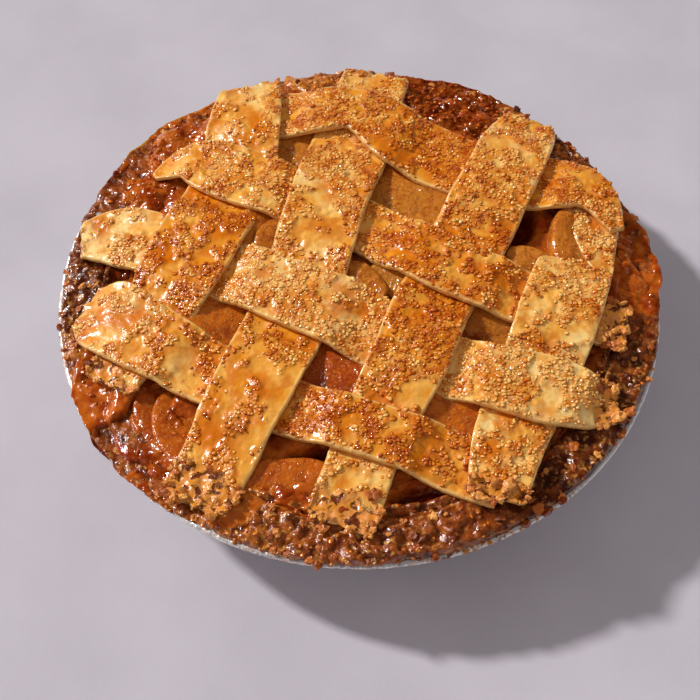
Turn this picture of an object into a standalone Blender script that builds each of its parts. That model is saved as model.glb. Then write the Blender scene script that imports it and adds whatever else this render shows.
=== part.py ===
"""A lattice apple pie in its own foil tin, in metres, +Z up, origin under the middle of the tin.

The pie is a shallow dome. A pastry case lines the tin, an apple filling stands in the case, and
eight pastry strips are woven over it: four weft strips run from the left down to the right, and
four warp strips run from the bottom up to the right. Each strip goes over one strip and under the
next. The baked edge is uneven, and the filling has boiled out over it in a few places.
"""

import math

import bmesh
import bpy
from mathutils import Vector, noise

# Clearance between two pieces that touch in the real pie.
GAP = 0.0004

# Foil tin.
TIN_RADIUS = 0.115
TIN_HEIGHT = 0.034
TIN_FLOOR_RADIUS = 0.087
TIN_WALL_TOP_RADIUS = 0.109
TIN_WALL_TOP_HEIGHT = 0.031
FOIL = 0.0005
BEAD_RADIUS = 0.0016
BEAD_POINTS = 5
FLUTES = 40
FLUTE_DEPTH = 0.0007

# Dome of the pie: the height at which the strips would lie if none passed over another.
DOME_EDGE_HEIGHT = TIN_HEIGHT + 0.003
DOME_RISE = 0.0085
DOME_POWER = 2.4

# Pastry case.
CASE_STEPS = 64
CASE_FLOOR = 0.0036
CASE_FLOOR_RADIUS = TIN_FLOOR_RADIUS - 0.0008
CASE_WALL_TOP_RADIUS = TIN_WALL_TOP_RADIUS - 0.0012
CASE_INNER_RADIUS = 0.099
EDGE_RADIUS = 0.1113
LIP_OVERHANG = 0.0022
EDGE_WEAR = 0.0016
SPILL_DEPTH = 0.0032

# Places where the filling has boiled out over the case: the angle in degrees, the half width in
# degrees, and how much of the edge is buried. They fade slowly enough that the spilled filling
# never starts within one step of an edge that still stands.
SPILLS = ((135, 36, 1.0), (219, 34, 1.0), (9, 30, 0.9), (64, 30, 0.9))
SPILL_RAISED = 0.35
SPILL_STARTS = 0.64

# Filling.
SPILL_REACH = 0.0115
APPLE_SIZE = 0.017
APPLE_RELIEF = 0.0030
FILLING_RINGS = (0.93, 0.84, 0.73, 0.60, 0.46, 0.31, 0.15)

# Pastry strips.
STRIP_THICKNESS = 0.0030
STRIP_CROWN = 0.0003
STRIP_EDGE_ROUND = 0.0012
SECTION_SPACING = 0.0052
CROSSING_MARGIN = 0.0026
CROSSING_RAMP = 0.0095

# Each strip's centre line, as (x, y, half width) in millimetres, from its left or lower end.
WEFT_STRIPS = (
    (
        (-50, 84, 12),
        (-24, 82, 14),
        (0, 82, 12),
        (20, 65, 16),
        (45, 51, 15.5),
        (72, 46, 15.5),
        (92, 40, 10.5),
        (100, 21, 3),
    ),
    (
        (-82, 50, 1.5),
        (-69, 55, 10),
        (-48, 46, 14),
        (-5, 25, 12.5),
        (36, -1, 12.7),
        (72, -15, 11.5),
        (99, -22, 10),
    ),
    (
        (-108, 20, 9),
        (-91, 20, 14.5),
        (-68, 10, 13),
        (-26, -12, 14),
        (-2, -23, 15),
        (21, -37, 13.5),
        (47, -47, 13),
        (72, -53, 13.3),
        (92, -55, 7),
    ),
    (
        (-102, -13, 9),
        (-93, -19, 15),
        (-68, -36, 13.2),
        (-26, -58, 11),
        (18, -74, 10.6),
        (38, -81, 12),
        (49, -85, 11),
    ),
)
WARP_STRIPS = (
    (
        (-91, -47, 10),
        (-78, -24, 13.4),
        (-63, 10, 16.5),
        (-50, 46, 16),
        (-46, 82, 14.5),
        (-44, 103, 11),
    ),
    (
        (-57, -94, 11.5),
        (-50, -79, 13.4),
        (-27, -24, 15.3),
        (-11, 35, 15.5),
        (-3, 64, 16),
        (8, 108, 14),
    ),
    (
        (-7, -102, 12),
        (5, -68, 12.5),
        (18, -41, 14.2),
        (29, -12, 14.2),
        (43, 17, 15),
        (55, 43, 14.6),
        (66, 69, 14),
        (72, 82, 10.5),
    ),
    (
        (46, -94, 10),
        (53, -69, 13),
        (69, -32, 14.7),
        (76, -13, 15),
        (83, 5, 14),
        (91, 28, 11),
        (95, 42, 8),
    ),
)

# The last warp strip is torn in from its left side: the place along Y where the tear starts, how
# deep it is there, and the length over which it closes again.
TORN_STRIP = ("warp", 3)
TEAR_Y = 0.005
TEAR_DEPTH = 0.022
TEAR_LENGTH = 0.024

MM = 0.001


def clear_scene():
    """Removes every object that the file holds."""
    for old in list(bpy.data.objects):
        bpy.data.objects.remove(old)


def make_material(name, colour, roughness, metallic=0.0):
    """A Principled material of one colour."""
    material = bpy.data.materials.new(name)
    material.use_nodes = True
    shader = material.node_tree.nodes["Principled BSDF"]
    shader.inputs["Base Color"].default_value = (*colour, 1.0)
    shader.inputs["Roughness"].default_value = roughness
    shader.inputs["Metallic"].default_value = metallic
    return material


def add_object(name, bm, material, smooth_angle):
    """Turns a bmesh into an object, with its faces outwards and its round parts shaded smooth."""
    bmesh.ops.recalc_face_normals(bm, faces=bm.faces)
    mesh = bpy.data.meshes.new(name)
    bm.to_mesh(mesh)
    bm.free()
    mesh.materials.append(material)
    mesh.shade_smooth()
    mesh.set_sharp_from_angle(angle=math.radians(smooth_angle))
    piece = bpy.data.objects.new(name, mesh)
    bpy.context.scene.collection.objects.link(piece)
    return piece


def smooth_step(value):
    """Runs from 0 to 1 as value does, with level ends."""
    share = min(1.0, max(0.0, value))
    return share * share * (3.0 - 2.0 * share)


def dome_height(radius):
    """Height of the pie's dome at a distance from its middle."""
    return DOME_EDGE_HEIGHT + DOME_RISE * (1.0 - (radius / TIN_RADIUS) ** DOME_POWER)


def turned_solid(profile, steps):
    """A closed body from a profile that may change with the angle.

    profile(angle) lists (radius, height) points from the bottom up the outside to the top. Its
    first and last points lie on the axis.
    """
    bm = bmesh.new()
    first = profile(0.0)
    bottom = bm.verts.new((0.0, 0.0, first[0][1]))
    top = bm.verts.new((0.0, 0.0, first[-1][1]))
    columns = []
    for step in range(steps):
        angle = 2.0 * math.pi * step / steps
        points = profile(angle)[1:-1]
        columns.append(
            [
                bm.verts.new((radius * math.cos(angle), radius * math.sin(angle), height))
                for radius, height in points
            ]
        )
    for step in range(steps):
        here = columns[step]
        there = columns[(step + 1) % steps]
        bm.faces.new((bottom, here[0], there[0]))
        bm.faces.new((top, there[-1], here[-1]))
        for low in range(len(here) - 1):
            bm.faces.new((here[low], here[low + 1], there[low + 1], there[low]))
    return bm


def tin_profile(angle):
    """The tin's floor, fluted wall, flange and rolled bead at one angle."""
    flute = FLUTE_DEPTH * math.cos(FLUTES * angle)
    bead_centre = TIN_RADIUS - BEAD_RADIUS
    bead_height = TIN_HEIGHT - BEAD_RADIUS
    flange_height = bead_height - 0.4 * BEAD_RADIUS
    bead = []
    for point in range(BEAD_POINTS):
        turn = math.radians(-70.0 + 235.0 * point / (BEAD_POINTS - 1))
        bead.append(
            (
                bead_centre + BEAD_RADIUS * math.cos(turn),
                bead_height + BEAD_RADIUS * math.sin(turn),
            )
        )
    return [
        (0.0, 0.0),
        (TIN_FLOOR_RADIUS, 0.0),
        (TIN_WALL_TOP_RADIUS + FOIL + flute, TIN_WALL_TOP_HEIGHT - FOIL),
        (bead_centre - 0.5 * BEAD_RADIUS, flange_height - FOIL),
        *bead,
        (bead_centre - BEAD_RADIUS - 0.0002, flange_height),
        (TIN_WALL_TOP_RADIUS + flute, TIN_WALL_TOP_HEIGHT),
        (TIN_FLOOR_RADIUS - 0.0002, FOIL),
        (0.0, FOIL),
    ]


def spill_share(angle):
    """How much of the baked edge the filling buries at this angle, from 0 to 1."""
    share = 0.0
    for middle, half_width, amount in SPILLS:
        away = math.degrees(angle) - middle
        away = abs((away + 180.0) % 360.0 - 180.0)
        share = max(share, amount * smooth_step(1.0 - away / half_width))
    return share


def edge_wear(angle, seed):
    """An uneven run round the edge, from 0 to 1, that meets itself after a full turn."""
    spot = Vector((2.6 * math.cos(angle), 2.6 * math.sin(angle), seed))
    return min(1.0, max(0.0, 0.5 + 0.9 * noise.noise(spot)))


def case_top(radius, angle):
    """Height of the pastry case's rim."""
    lowered = EDGE_WEAR * edge_wear(angle, 4.0) + SPILL_DEPTH * spill_share(angle)
    return dome_height(radius) - GAP - lowered


def case_profile(angle):
    """The pastry case at one angle: floor, wall, lip over the tin's bead, and inner wall."""
    bulge = (1.0 - spill_share(angle)) * edge_wear(angle, 9.0)
    lip = LIP_OVERHANG * bulge
    dip = 0.0008 * edge_wear(angle, 15.0)
    middle = 0.5 * (CASE_INNER_RADIUS + EDGE_RADIUS)
    return [
        (0.0, FOIL + GAP),
        (CASE_FLOOR_RADIUS, FOIL + GAP),
        (CASE_WALL_TOP_RADIUS, TIN_WALL_TOP_HEIGHT + 0.0006),
        (EDGE_RADIUS, TIN_HEIGHT - BEAD_RADIUS + GAP),
        (EDGE_RADIUS, TIN_HEIGHT + GAP),
        (EDGE_RADIUS + lip, TIN_HEIGHT + GAP + 0.0002 * bulge),
        (EDGE_RADIUS - 0.0006 + lip, case_top(EDGE_RADIUS, angle)),
        (middle, case_top(middle, angle) - dip),
        (CASE_INNER_RADIUS, case_top(CASE_INNER_RADIUS, angle)),
        (CASE_INNER_RADIUS - GAP, case_top(CASE_INNER_RADIUS, angle) - 0.0015),
        (CASE_FLOOR_RADIUS - CASE_FLOOR, FOIL + GAP + CASE_FLOOR),
        (0.0, FOIL + GAP + CASE_FLOOR),
    ]


def apple_bump(x, y):
    """How far the apple pieces leave the filling below the dome at a place, from 0 to 1."""
    spot = Vector((x / APPLE_SIZE, y / APPLE_SIZE, 2.7))
    return min(1.0, max(0.0, 0.55 + 0.8 * noise.noise(spot)))


def filling_profile(angle):
    """The filling at one angle: inside the case, then out over the case where it has spilled."""
    share = spill_share(angle)
    raised = smooth_step(share / SPILL_RAISED)
    reach = SPILL_REACH * smooth_step((share - SPILL_STARTS) / (1.0 - SPILL_STARTS))
    wall = CASE_INNER_RADIUS - 2.5 * GAP
    rim = case_top(wall, angle)
    brim = rim - 0.0018 + raised * (0.0018 + GAP)
    outer = wall + reach
    edge_top = dome_height(outer) - GAP - 0.0005 * edge_wear(angle, 21.0)
    points = [
        (0.0, FOIL + 2.0 * GAP + CASE_FLOOR),
        (CASE_FLOOR_RADIUS - CASE_FLOOR - GAP, FOIL + 2.0 * GAP + CASE_FLOOR),
        (wall - 0.0019, rim - 0.0050),
        (wall - 0.0001, brim),
        (outer, case_top(outer, angle) - rim + brim),
        (outer - 0.0004, edge_top),
    ]
    for fraction in FILLING_RINGS:
        radius = fraction * outer
        bump = apple_bump(radius * math.cos(angle), radius * math.sin(angle))
        points.append((radius, dome_height(radius) - GAP - APPLE_RELIEF * bump))
    points.append((0.0, dome_height(0.0) - GAP - 0.4 * APPLE_RELIEF))
    return points


def smooth_line(points, spacing):
    """Even samples of a Catmull-Rom curve through (x, y, half width) points in millimetres."""
    knots = [Vector(point) * MM for point in points]
    knots = [2 * knots[0] - knots[1], *knots, 2 * knots[-1] - knots[-2]]
    fine = []
    per_span = 24
    for before, start, end, after in zip(knots, knots[1:], knots[2:], knots[3:]):
        for step in range(per_span):
            t = step / per_span
            fine.append(
                0.5
                * (
                    2 * start
                    + t * (end - before)
                    + t**2 * (2 * before - 5 * start + 4 * end - after)
                    + t**3 * (3 * start - before - 3 * end + after)
                )
            )
    fine.append(knots[-2])
    lengths = [0.0]
    for here, there in zip(fine, fine[1:]):
        lengths.append(lengths[-1] + (there.xy - here.xy).length)
    count = round(lengths[-1] / spacing)
    samples = []
    index = 0
    for step in range(count + 1):
        wanted = lengths[-1] * step / count
        while index < len(fine) - 2 and lengths[index + 1] < wanted:
            index += 1
        share = (wanted - lengths[index]) / (lengths[index + 1] - lengths[index])
        samples.append(fine[index].lerp(fine[index + 1], min(1.0, share)))
    return samples


def passes_over(family, number, other):
    """True where a strip passes over that strip of the other family, in a plain weave."""
    return (number + other) % 2 == (1 if family == "weft" else 0)


def lift_at(place, lattice, family, number, layers=3):
    """How far a strip is raised at a place by the strips that it passes over.

    What it passes over may itself still be raised there, so the lifts of a few layers add up.
    """
    crossing = "warp" if family == "weft" else "weft"
    lift = 0.0
    for other, line in enumerate(lattice[crossing]):
        if not passes_over(family, number, other):
            continue
        clear = min((place - sample.xy).length - sample.z for sample in line)
        share = 1.0 - smooth_step((clear - CROSSING_MARGIN) / CROSSING_RAMP)
        if share > 0.0:
            below = lift_at(place, lattice, crossing, other, layers - 1) if layers else 0.0
            lift = max(lift, share * (STRIP_THICKNESS + STRIP_CROWN + GAP + below))
    return lift


def section_points(half_left, half_right):
    """The outline of a strip's section, as (distance to the right, height) points."""
    width = half_left + half_right
    rounding = min(STRIP_EDGE_ROUND, 0.3 * width)
    centre = 0.5 * (half_right - half_left)
    return (
        (-half_left, 0.10 * STRIP_THICKNESS),
        (-half_left, 0.72 * STRIP_THICKNESS),
        (-half_left + rounding, STRIP_THICKNESS),
        (centre, STRIP_THICKNESS + STRIP_CROWN),
        (half_right - rounding, STRIP_THICKNESS),
        (half_right, 0.72 * STRIP_THICKNESS),
        (half_right, 0.10 * STRIP_THICKNESS),
        (centre, 0.0),
    )


def strip_mesh(lattice, family, number):
    """A strip swept along its centre line, lying on the dome and rising over what it crosses."""
    line = list(lattice[family][number])
    torn = (family, number) == TORN_STRIP
    if torn:
        start = min(line, key=lambda sample: abs(sample.y - TEAR_Y))
        index = line.index(start)
        line.insert(index + 1, start.lerp(line[index + 1], 0.15))
    bm = bmesh.new()
    sections = []
    for index, sample in enumerate(line):
        before = line[max(0, index - 1)]
        after = line[min(len(line) - 1, index + 1)]
        along = (after.xy - before.xy).normalized()
        right = Vector((along.y, -along.x))
        half_left = sample.z
        if torn and sample.y > start.y:
            closed = (sample.xy - start.xy).length / TEAR_LENGTH
            half_left -= TEAR_DEPTH * max(0.0, 1.0 - closed)
        section = []
        for offset, height in section_points(half_left, sample.z):
            place = sample.xy + offset * right
            under = dome_height(place.length) + lift_at(place, lattice, family, number)
            section.append(bm.verts.new((place.x, place.y, under + height)))
        sections.append(section)
    for here, there in zip(sections, sections[1:]):
        for point in range(len(here)):
            turn = (point + 1) % len(here)
            bm.faces.new((here[point], here[turn], there[turn], there[point]))
    bm.faces.new(sections[0])
    bm.faces.new(sections[-1])
    return bm


def build_tin():
    """The foil tin that the pie was baked in."""
    foil = make_material("foil", (0.78, 0.78, 0.76), 0.32, 1.0)
    add_object("tin", turned_solid(tin_profile, 2 * FLUTES), foil, 35.0)


def build_case():
    """The pastry case, whose rim shows as the dark uneven edge."""
    baked = make_material("baked_edge", (0.20, 0.075, 0.025), 0.5)
    add_object("pastry_case", turned_solid(case_profile, CASE_STEPS), baked, 50.0)


def build_filling():
    """The apple filling, one solid out to its uneven top."""
    apple = make_material("apple_filling", (0.40, 0.14, 0.035), 0.25)
    add_object("apple_filling", turned_solid(filling_profile, CASE_STEPS), apple, 60.0)


def build_lattice():
    """The eight woven strips."""
    pastry = make_material("glazed_pastry", (0.68, 0.36, 0.11), 0.45)
    lattice = {
        "weft": [smooth_line(points, SECTION_SPACING) for points in WEFT_STRIPS],
        "warp": [smooth_line(points, SECTION_SPACING) for points in WARP_STRIPS],
    }
    for family, lines in lattice.items():
        for number in range(len(lines)):
            bm = strip_mesh(lattice, family, number)
            add_object(f"{family}_strip_{number + 1}", bm, pastry, 40.0)


def main():
    """Builds the whole pie."""
    clear_scene()
    build_tin()
    build_case()
    build_filling()
    build_lattice()


main()
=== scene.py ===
"""Looks of a lattice apple pie in its foil tin, built round the pie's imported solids.

Everything is in metres. The tin stands on z = 0 with its middle over the origin, and the pie is
seen from the -Y side. Each class below makes one sub-assembly: the foil tin, the crust with its
baked edge, the apple filling with its syrup, the woven lattice, what is strewn over it, and the
studio. The solids give every place and height, so the visible pieces sit where the solids are.
"""

import logging
import math
from dataclasses import dataclass, field
from enum import Enum

import bmesh
import bpy
import numpy as np
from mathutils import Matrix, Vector
from mathutils.bvhtree import BVHTree

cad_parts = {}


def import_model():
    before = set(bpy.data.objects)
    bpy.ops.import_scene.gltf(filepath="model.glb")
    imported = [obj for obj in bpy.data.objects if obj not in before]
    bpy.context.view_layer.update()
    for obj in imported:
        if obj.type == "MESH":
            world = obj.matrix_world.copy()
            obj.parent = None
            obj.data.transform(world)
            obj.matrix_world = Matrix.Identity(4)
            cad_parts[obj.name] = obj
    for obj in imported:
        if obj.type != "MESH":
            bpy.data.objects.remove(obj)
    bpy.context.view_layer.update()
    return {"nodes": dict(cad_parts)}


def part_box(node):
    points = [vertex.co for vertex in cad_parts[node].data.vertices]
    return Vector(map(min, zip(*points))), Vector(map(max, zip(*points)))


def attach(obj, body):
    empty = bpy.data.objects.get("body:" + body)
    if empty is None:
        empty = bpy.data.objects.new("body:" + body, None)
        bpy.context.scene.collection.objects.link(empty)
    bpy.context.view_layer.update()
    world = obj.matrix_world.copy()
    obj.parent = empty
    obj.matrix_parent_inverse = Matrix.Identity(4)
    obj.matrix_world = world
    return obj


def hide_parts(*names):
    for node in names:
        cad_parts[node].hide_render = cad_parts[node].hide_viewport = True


LOG = logging.getLogger("lattice_pie")
BODY = "root"
UP = Vector((0.0, 0.0, 1.0))
DOWN = -UP
ABOVE_ALL = 0.2
Array = np.ndarray
Material = bpy.types.Material
Socket = bpy.types.NodeSocket
Colour = tuple[float, float, float, float]


def srgb(red: int, green: int, blue: int) -> Colour:
    """Turns a colour from 0 to 255 into the linear one that shaders take.

    Args:
        red: share of red, 0 to 255.
        green: share of green, 0 to 255.
        blue: share of blue, 0 to 255.

    Returns:
        The linear colour with full alpha.
    """
    linear = []
    for channel in (red, green, blue):
        share = channel / 255.0
        linear.append(share / 12.92 if share <= 0.04045 else ((share + 0.055) / 1.055) ** 2.4)
    return (linear[0], linear[1], linear[2], 1.0)


def smooth_step(value: Array) -> Array:
    """Runs from 0 to 1 as the value does, with level ends."""
    share = np.clip(value, 0.0, 1.0)
    return share * share * (3.0 - 2.0 * share)


def round_angles(steps: int) -> Array:
    """Evenly spaced angles, once round."""
    return np.linspace(0.0, 2.0 * np.pi, steps, endpoint=False)


def ring_spots(angles: Array, radius: float) -> Array:
    """Places on a flat ring, one for each angle."""
    return np.c_[radius * np.cos(angles), radius * np.sin(angles), np.zeros(len(angles))]


def turn_about(points: Array, first: int, second: int, degrees: float) -> None:
    """Turns points from one axis towards another, about the axes' origin.

    Args:
        points: the points, which are changed.
        first: number of the axis to turn from.
        second: number of the axis to turn towards.
        degrees: how far to turn them.
    """
    turn = math.radians(degrees)
    one, two = points[:, first].copy(), points[:, second].copy()
    points[:, first] = one * math.cos(turn) - two * math.sin(turn)
    points[:, second] = one * math.sin(turn) + two * math.cos(turn)


class Noise:
    """Seeded smooth noise and round cells, worked out for many points at once."""

    def __init__(self, seed: int) -> None:
        """Draws the tables of slopes and cell centres.

        Args:
            seed: number that fixes every draw.
        """
        rng = np.random.default_rng(seed)
        self.table = np.tile(rng.permutation(256), 2)
        slopes = rng.normal(size=(256, 3))
        self.slopes = slopes / np.linalg.norm(slopes, axis=1, keepdims=True)
        self.centres = rng.random((256, 3))
        self.chances = rng.random(256)

    def _label(self, corner: Array) -> Array:
        """Gives each whole-numbered place a label from 0 to 255."""
        x, y, z = (corner[:, axis] & 255 for axis in range(3))
        return self.table[self.table[self.table[x] + y] + z]

    def smooth(self, points: Array, size: float) -> Array:
        """Gradient noise.

        Args:
            points: places, one to a row.
            size: width of one bump.

        Returns:
            A value for each point, mostly between -1 and 1.
        """
        scaled = points / size
        base = np.floor(scaled).astype(int)
        inside = scaled - base
        fade = inside**3 * (inside * (inside * 6.0 - 15.0) + 10.0)
        total = np.zeros(len(points))
        for corner in np.ndindex(2, 2, 2):
            offset = np.array(corner)
            slope = self.slopes[self._label(base + offset)]
            weight = np.prod(np.where(offset == 1, fade, 1.0 - fade), axis=1)
            total += weight * np.einsum("ij,ij->i", inside - offset, slope)
        return 1.8 * total

    def layered(self, points: Array, size: float, layers: int = 3) -> Array:
        """Gradient noise with finer and fainter noise on top of it.

        Args:
            points: places, one to a row.
            size: width of the widest bumps.
            layers: how many sizes are added up, each half of the one before.

        Returns:
            A value for each point, mostly between -1 and 1.
        """
        total = np.zeros(len(points))
        for layer in range(layers):
            total += self.smooth(points + 0.37 * layer, size / 2**layer) / 2**layer
        return total

    def cells(self, points: Array, size: float) -> tuple[Array, Array]:
        """Round cells strewn through space.

        Args:
            points: places, one to a row.
            size: mean distance from one cell to the next.

        Returns:
            The distance to the nearest cell centre in cell sizes, and that cell's own chance.
        """
        scaled = points / size
        base = np.floor(scaled).astype(int)
        nearest = np.full(len(points), 9.0)
        chance = np.zeros(len(points))
        for offset in np.ndindex(3, 3, 3):
            corner = base + np.array(offset) - 1
            label = self._label(corner)
            away = np.linalg.norm(corner + self.centres[label] - scaled, axis=1)
            closer = away < nearest
            nearest = np.where(closer, away, nearest)
            chance = np.where(closer, self.chances[label], chance)
        return nearest, chance


def dome(distance: Array, reach: float) -> Array:
    """Height of a round cap of unit height, at a distance from its middle."""
    return np.sqrt(np.clip(1.0 - (distance / reach) ** 2, 0.0, 1.0))


@dataclass
class Draft:
    """A mesh being drafted: its points, its faces, and the values painted on its points."""

    points: Array
    faces: list[Array]
    paint: dict[str, Array] = field(default_factory=dict)

    def to_object(
        self,
        name: str,
        material: Material,
        slot: str,
        replaces: tuple[str, ...] = (),
        smooth: bool = True,
    ) -> bpy.types.Object:
        """Makes the drafted piece and fixes it to the pie.

        Args:
            name: the piece's name.
            material: its finish.
            slot: the material slot that the finish belongs to; not used.
            replaces: the solids that the piece stands for.
            smooth: True where the faces are shaded smooth.

        Returns:
            The piece.
        """
        mesh = bpy.data.meshes.new(name)
        faces = [face for block in self.faces for face in block.tolist()]
        mesh.from_pydata(self.points.tolist(), [], faces)
        for key, values in self.paint.items():
            layer = mesh.attributes.new(key, "FLOAT", "POINT")
            layer.data.foreach_set("value", np.asarray(values, np.float32))
        mesh.materials.append(material)
        if smooth:
            mesh.shade_smooth()
        piece = bpy.data.objects.new(name, mesh)
        bpy.context.scene.collection.objects.link(piece)
        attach(piece, BODY)
        if replaces:
            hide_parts(*replaces)
        count = sum(len(block) * (block.shape[1] - 2) for block in self.faces)
        LOG.info("%s: %d points, %d triangles", name, len(self.points), count)
        return piece


def grid_faces(rows: int, columns: int, wrap_rows: bool = False) -> Array:
    """Faces of a grid of points whose columns close into a ring.

    Args:
        rows: how many rows of points there are.
        columns: how many points a row has.
        wrap_rows: True where the last row also joins the first.

    Returns:
        The four point numbers of each face.
    """
    row = np.arange(rows if wrap_rows else rows - 1)[:, None]
    column = np.arange(columns)[None, :]
    next_row = (row + 1) % rows
    next_column = (column + 1) % columns
    corners = (
        row * columns + column,
        next_row * columns + column,
        next_row * columns + next_column,
        row * columns + next_column,
    )
    return np.stack([np.broadcast_to(c, (len(row), columns)) for c in corners], -1).reshape(-1, 4)


def turned_draft(rows: Array) -> Draft:
    """A closed body of rings, from the middle of its top out, round its edge and back underneath.

    Args:
        rows: rings of points, as an array of rings, points and coordinates.

    Returns:
        The draft, closed at both ends by a point in the middle of the first and last ring.
    """
    count, steps = rows.shape[:2]
    ends = np.stack([rows[0].mean(0), rows[-1].mean(0)])
    points = np.concatenate([rows.reshape(-1, 3), ends])
    here = np.arange(steps)
    there = (here + 1) % steps
    last = (count - 1) * steps
    top = np.stack([np.full(steps, count * steps), here, there], -1)
    bottom = np.stack([np.full(steps, count * steps + 1), last + there, last + here], -1)
    return Draft(points, [grid_faces(count, steps), top, bottom])


def ring_points(radii: Array, heights: Array, angles: Array) -> Array:
    """Places points from their radii, heights and angles, as rings, steps and coordinates."""
    return np.stack([radii * np.cos(angles), radii * np.sin(angles), heights], -1)


@dataclass(frozen=True)
class Arc:
    """A stretch of the round edge, in degrees, that fades out to both sides."""

    middle: float
    half_width: float
    amount: float = 1.0

    def share(self, angles: Array) -> Array:
        """How far this stretch reaches each angle, from 0 to its amount."""
        away = np.abs((np.degrees(angles) - self.middle + 180.0) % 360.0 - 180.0)
        return self.amount * smooth_step(1.6 * (1.0 - away / self.half_width))


def strongest(arcs: tuple[Arc, ...], angles: Array) -> Array:
    """The largest share that any of the stretches has at each angle."""
    return np.max([arc.share(angles) for arc in arcs], axis=0)


class Graph:
    """Wires the nodes of one material, with sizes in metres."""

    def __init__(self, name: str) -> None:
        """Starts the material.

        Args:
            name: the material's name.
        """
        self.material = bpy.data.materials.new(name)
        self.material.use_nodes = True
        self.nodes = self.material.node_tree.nodes
        self.links = self.material.node_tree.links
        self.shader = self.nodes["Principled BSDF"]
        self.place = self.nodes.new("ShaderNodeTexCoord").outputs["Object"]

    def node(self, kind: str, inputs: dict, **settings: object) -> bpy.types.Node:
        """Adds one node.

        Args:
            kind: the node's type.
            inputs: a value or a socket for each named or numbered input.
            settings: the node's own settings.

        Returns:
            The node.
        """
        made = self.nodes.new(kind)
        for key, value in settings.items():
            setattr(made, key, value)
        for key, value in inputs.items():
            if isinstance(value, Socket):
                self.links.new(value, made.inputs[key])
            else:
                made.inputs[key].default_value = value
        return made

    def paint(self, name: str) -> Socket:
        """The value painted on the mesh under a name."""
        return self.node("ShaderNodeAttribute", {}, attribute_name=name).outputs["Fac"]

    def noise(self, size: float, detail: float = 4.0, warp: float = 0.0) -> Socket:
        """Noise of about 0.3 to 0.7, by its bumps' width, its finer layers and its bend."""
        inputs = {"Vector": self.place, "Scale": 1.0 / size, "Detail": detail, "Distortion": warp}
        return self.node("ShaderNodeTexNoise", inputs).outputs[0]

    def cells(self, size: float) -> Socket:
        """Distance to the nearest of round cells of that size, in cells."""
        inputs = {"Vector": self.place, "Scale": 1.0 / size}
        return self.node("ShaderNodeTexVoronoi", inputs, feature="SMOOTH_F1").outputs["Distance"]

    def beads(
        self,
        size: float,
        amount: object,
        smallest: float = 0.34,
        largest: float = 0.66,
    ) -> Socket:
        """Round beads of uneven size, strewn at random.

        Args:
            size: mean distance from one bead to the next.
            amount: the share of the beads that are there, as a socket or a value.
            smallest: radius of the smallest bead, in mean distances.
            largest: radius of the largest one.

        Returns:
            The socket with the beads' height, from 0 between them to 1 on their tops.
        """
        inputs = {"Vector": self.place, "Scale": 1.0 / size}
        cells = self.node("ShaderNodeTexVoronoi", inputs)
        draws = self.node("ShaderNodeSeparateColor", {"Color": cells.outputs["Color"]}).outputs
        reach = self.spread(draws[0], 0.0, 1.0, smallest, largest)
        away = self.sum("DIVIDE", cells.outputs["Distance"], reach)
        height = self.spread(self.times(away, away), 0.0, 1.0, 1.0, 0.0)
        there = self.spread(self.sum("SUBTRACT", amount, draws[1]), 0.0, 0.10)
        return self.times(height, there)

    def spread(
        self,
        value: Socket,
        low: float,
        high: float,
        first: float = 0.0,
        last: float = 1.0,
    ) -> Socket:
        """Runs from first to last as the value goes from low to high, and no further."""
        inputs = {"Value": value, "From Min": low, "From Max": high, "To Min": first, "To Max": last}
        return self.node("ShaderNodeMapRange", inputs).outputs["Result"]

    def roughness(self, size: float, low: float, high: float) -> Socket:
        """Roughness that wanders from low to high, in spots of a size."""
        return self.spread(self.noise(size), 0.35, 0.65, low, high)

    def times(self, first: object, second: object) -> Socket:
        """The product of two values."""
        return self.sum("MULTIPLY", first, second)

    def sum(self, kind: str, first: object, second: object) -> Socket:
        """Works out one sum of two values, such as DIVIDE or ADD."""
        return self.node("ShaderNodeMath", {0: first, 1: second}, operation=kind).outputs[0]

    def mix(self, share: object, first: object, second: object) -> Socket:
        """Goes from the first colour to the second as the share goes from 0 to 1."""
        made = self.node("ShaderNodeMix", {}, data_type="RGBA")
        for index, value in ((0, share), (6, first), (7, second)):
            if isinstance(value, Socket):
                self.links.new(value, made.inputs[index])
            else:
                made.inputs[index].default_value = value
        return made.outputs[2]

    def bump(
        self,
        height: Socket,
        depth: float,
        below: Socket | None = None,
    ) -> Socket:
        """Raises fine relief.

        Args:
            height: the relief, 0 to 1.
            depth: how high 1 stands.
            below: the bump that this one lies on.

        Returns:
            The socket with the bent normal.
        """
        inputs: dict = {"Height": height, "Distance": depth, "Strength": 1.0}
        if below is not None:
            inputs["Normal"] = below
        return self.node("ShaderNodeBump", inputs).outputs["Normal"]

    def finish(
        self,
        colour: Socket,
        roughness: Socket,
        normal: Socket,
        **plain: object,
    ) -> Material:
        """Feeds the shader.

        Args:
            colour: the surface's colour.
            roughness: its roughness.
            normal: its bent normal.
            plain: values that are the same all over, by input name with _ for a space.

        Returns:
            The finished material.
        """
        self.links.new(colour, self.shader.inputs["Base Color"])
        self.links.new(roughness, self.shader.inputs["Roughness"])
        self.links.new(normal, self.shader.inputs["Normal"])
        self.links.new(normal, self.shader.inputs["Coat Normal"])
        for key, value in plain.items():
            self.shader.inputs[key.replace("_", " ")].default_value = value
        return self.material


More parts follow.
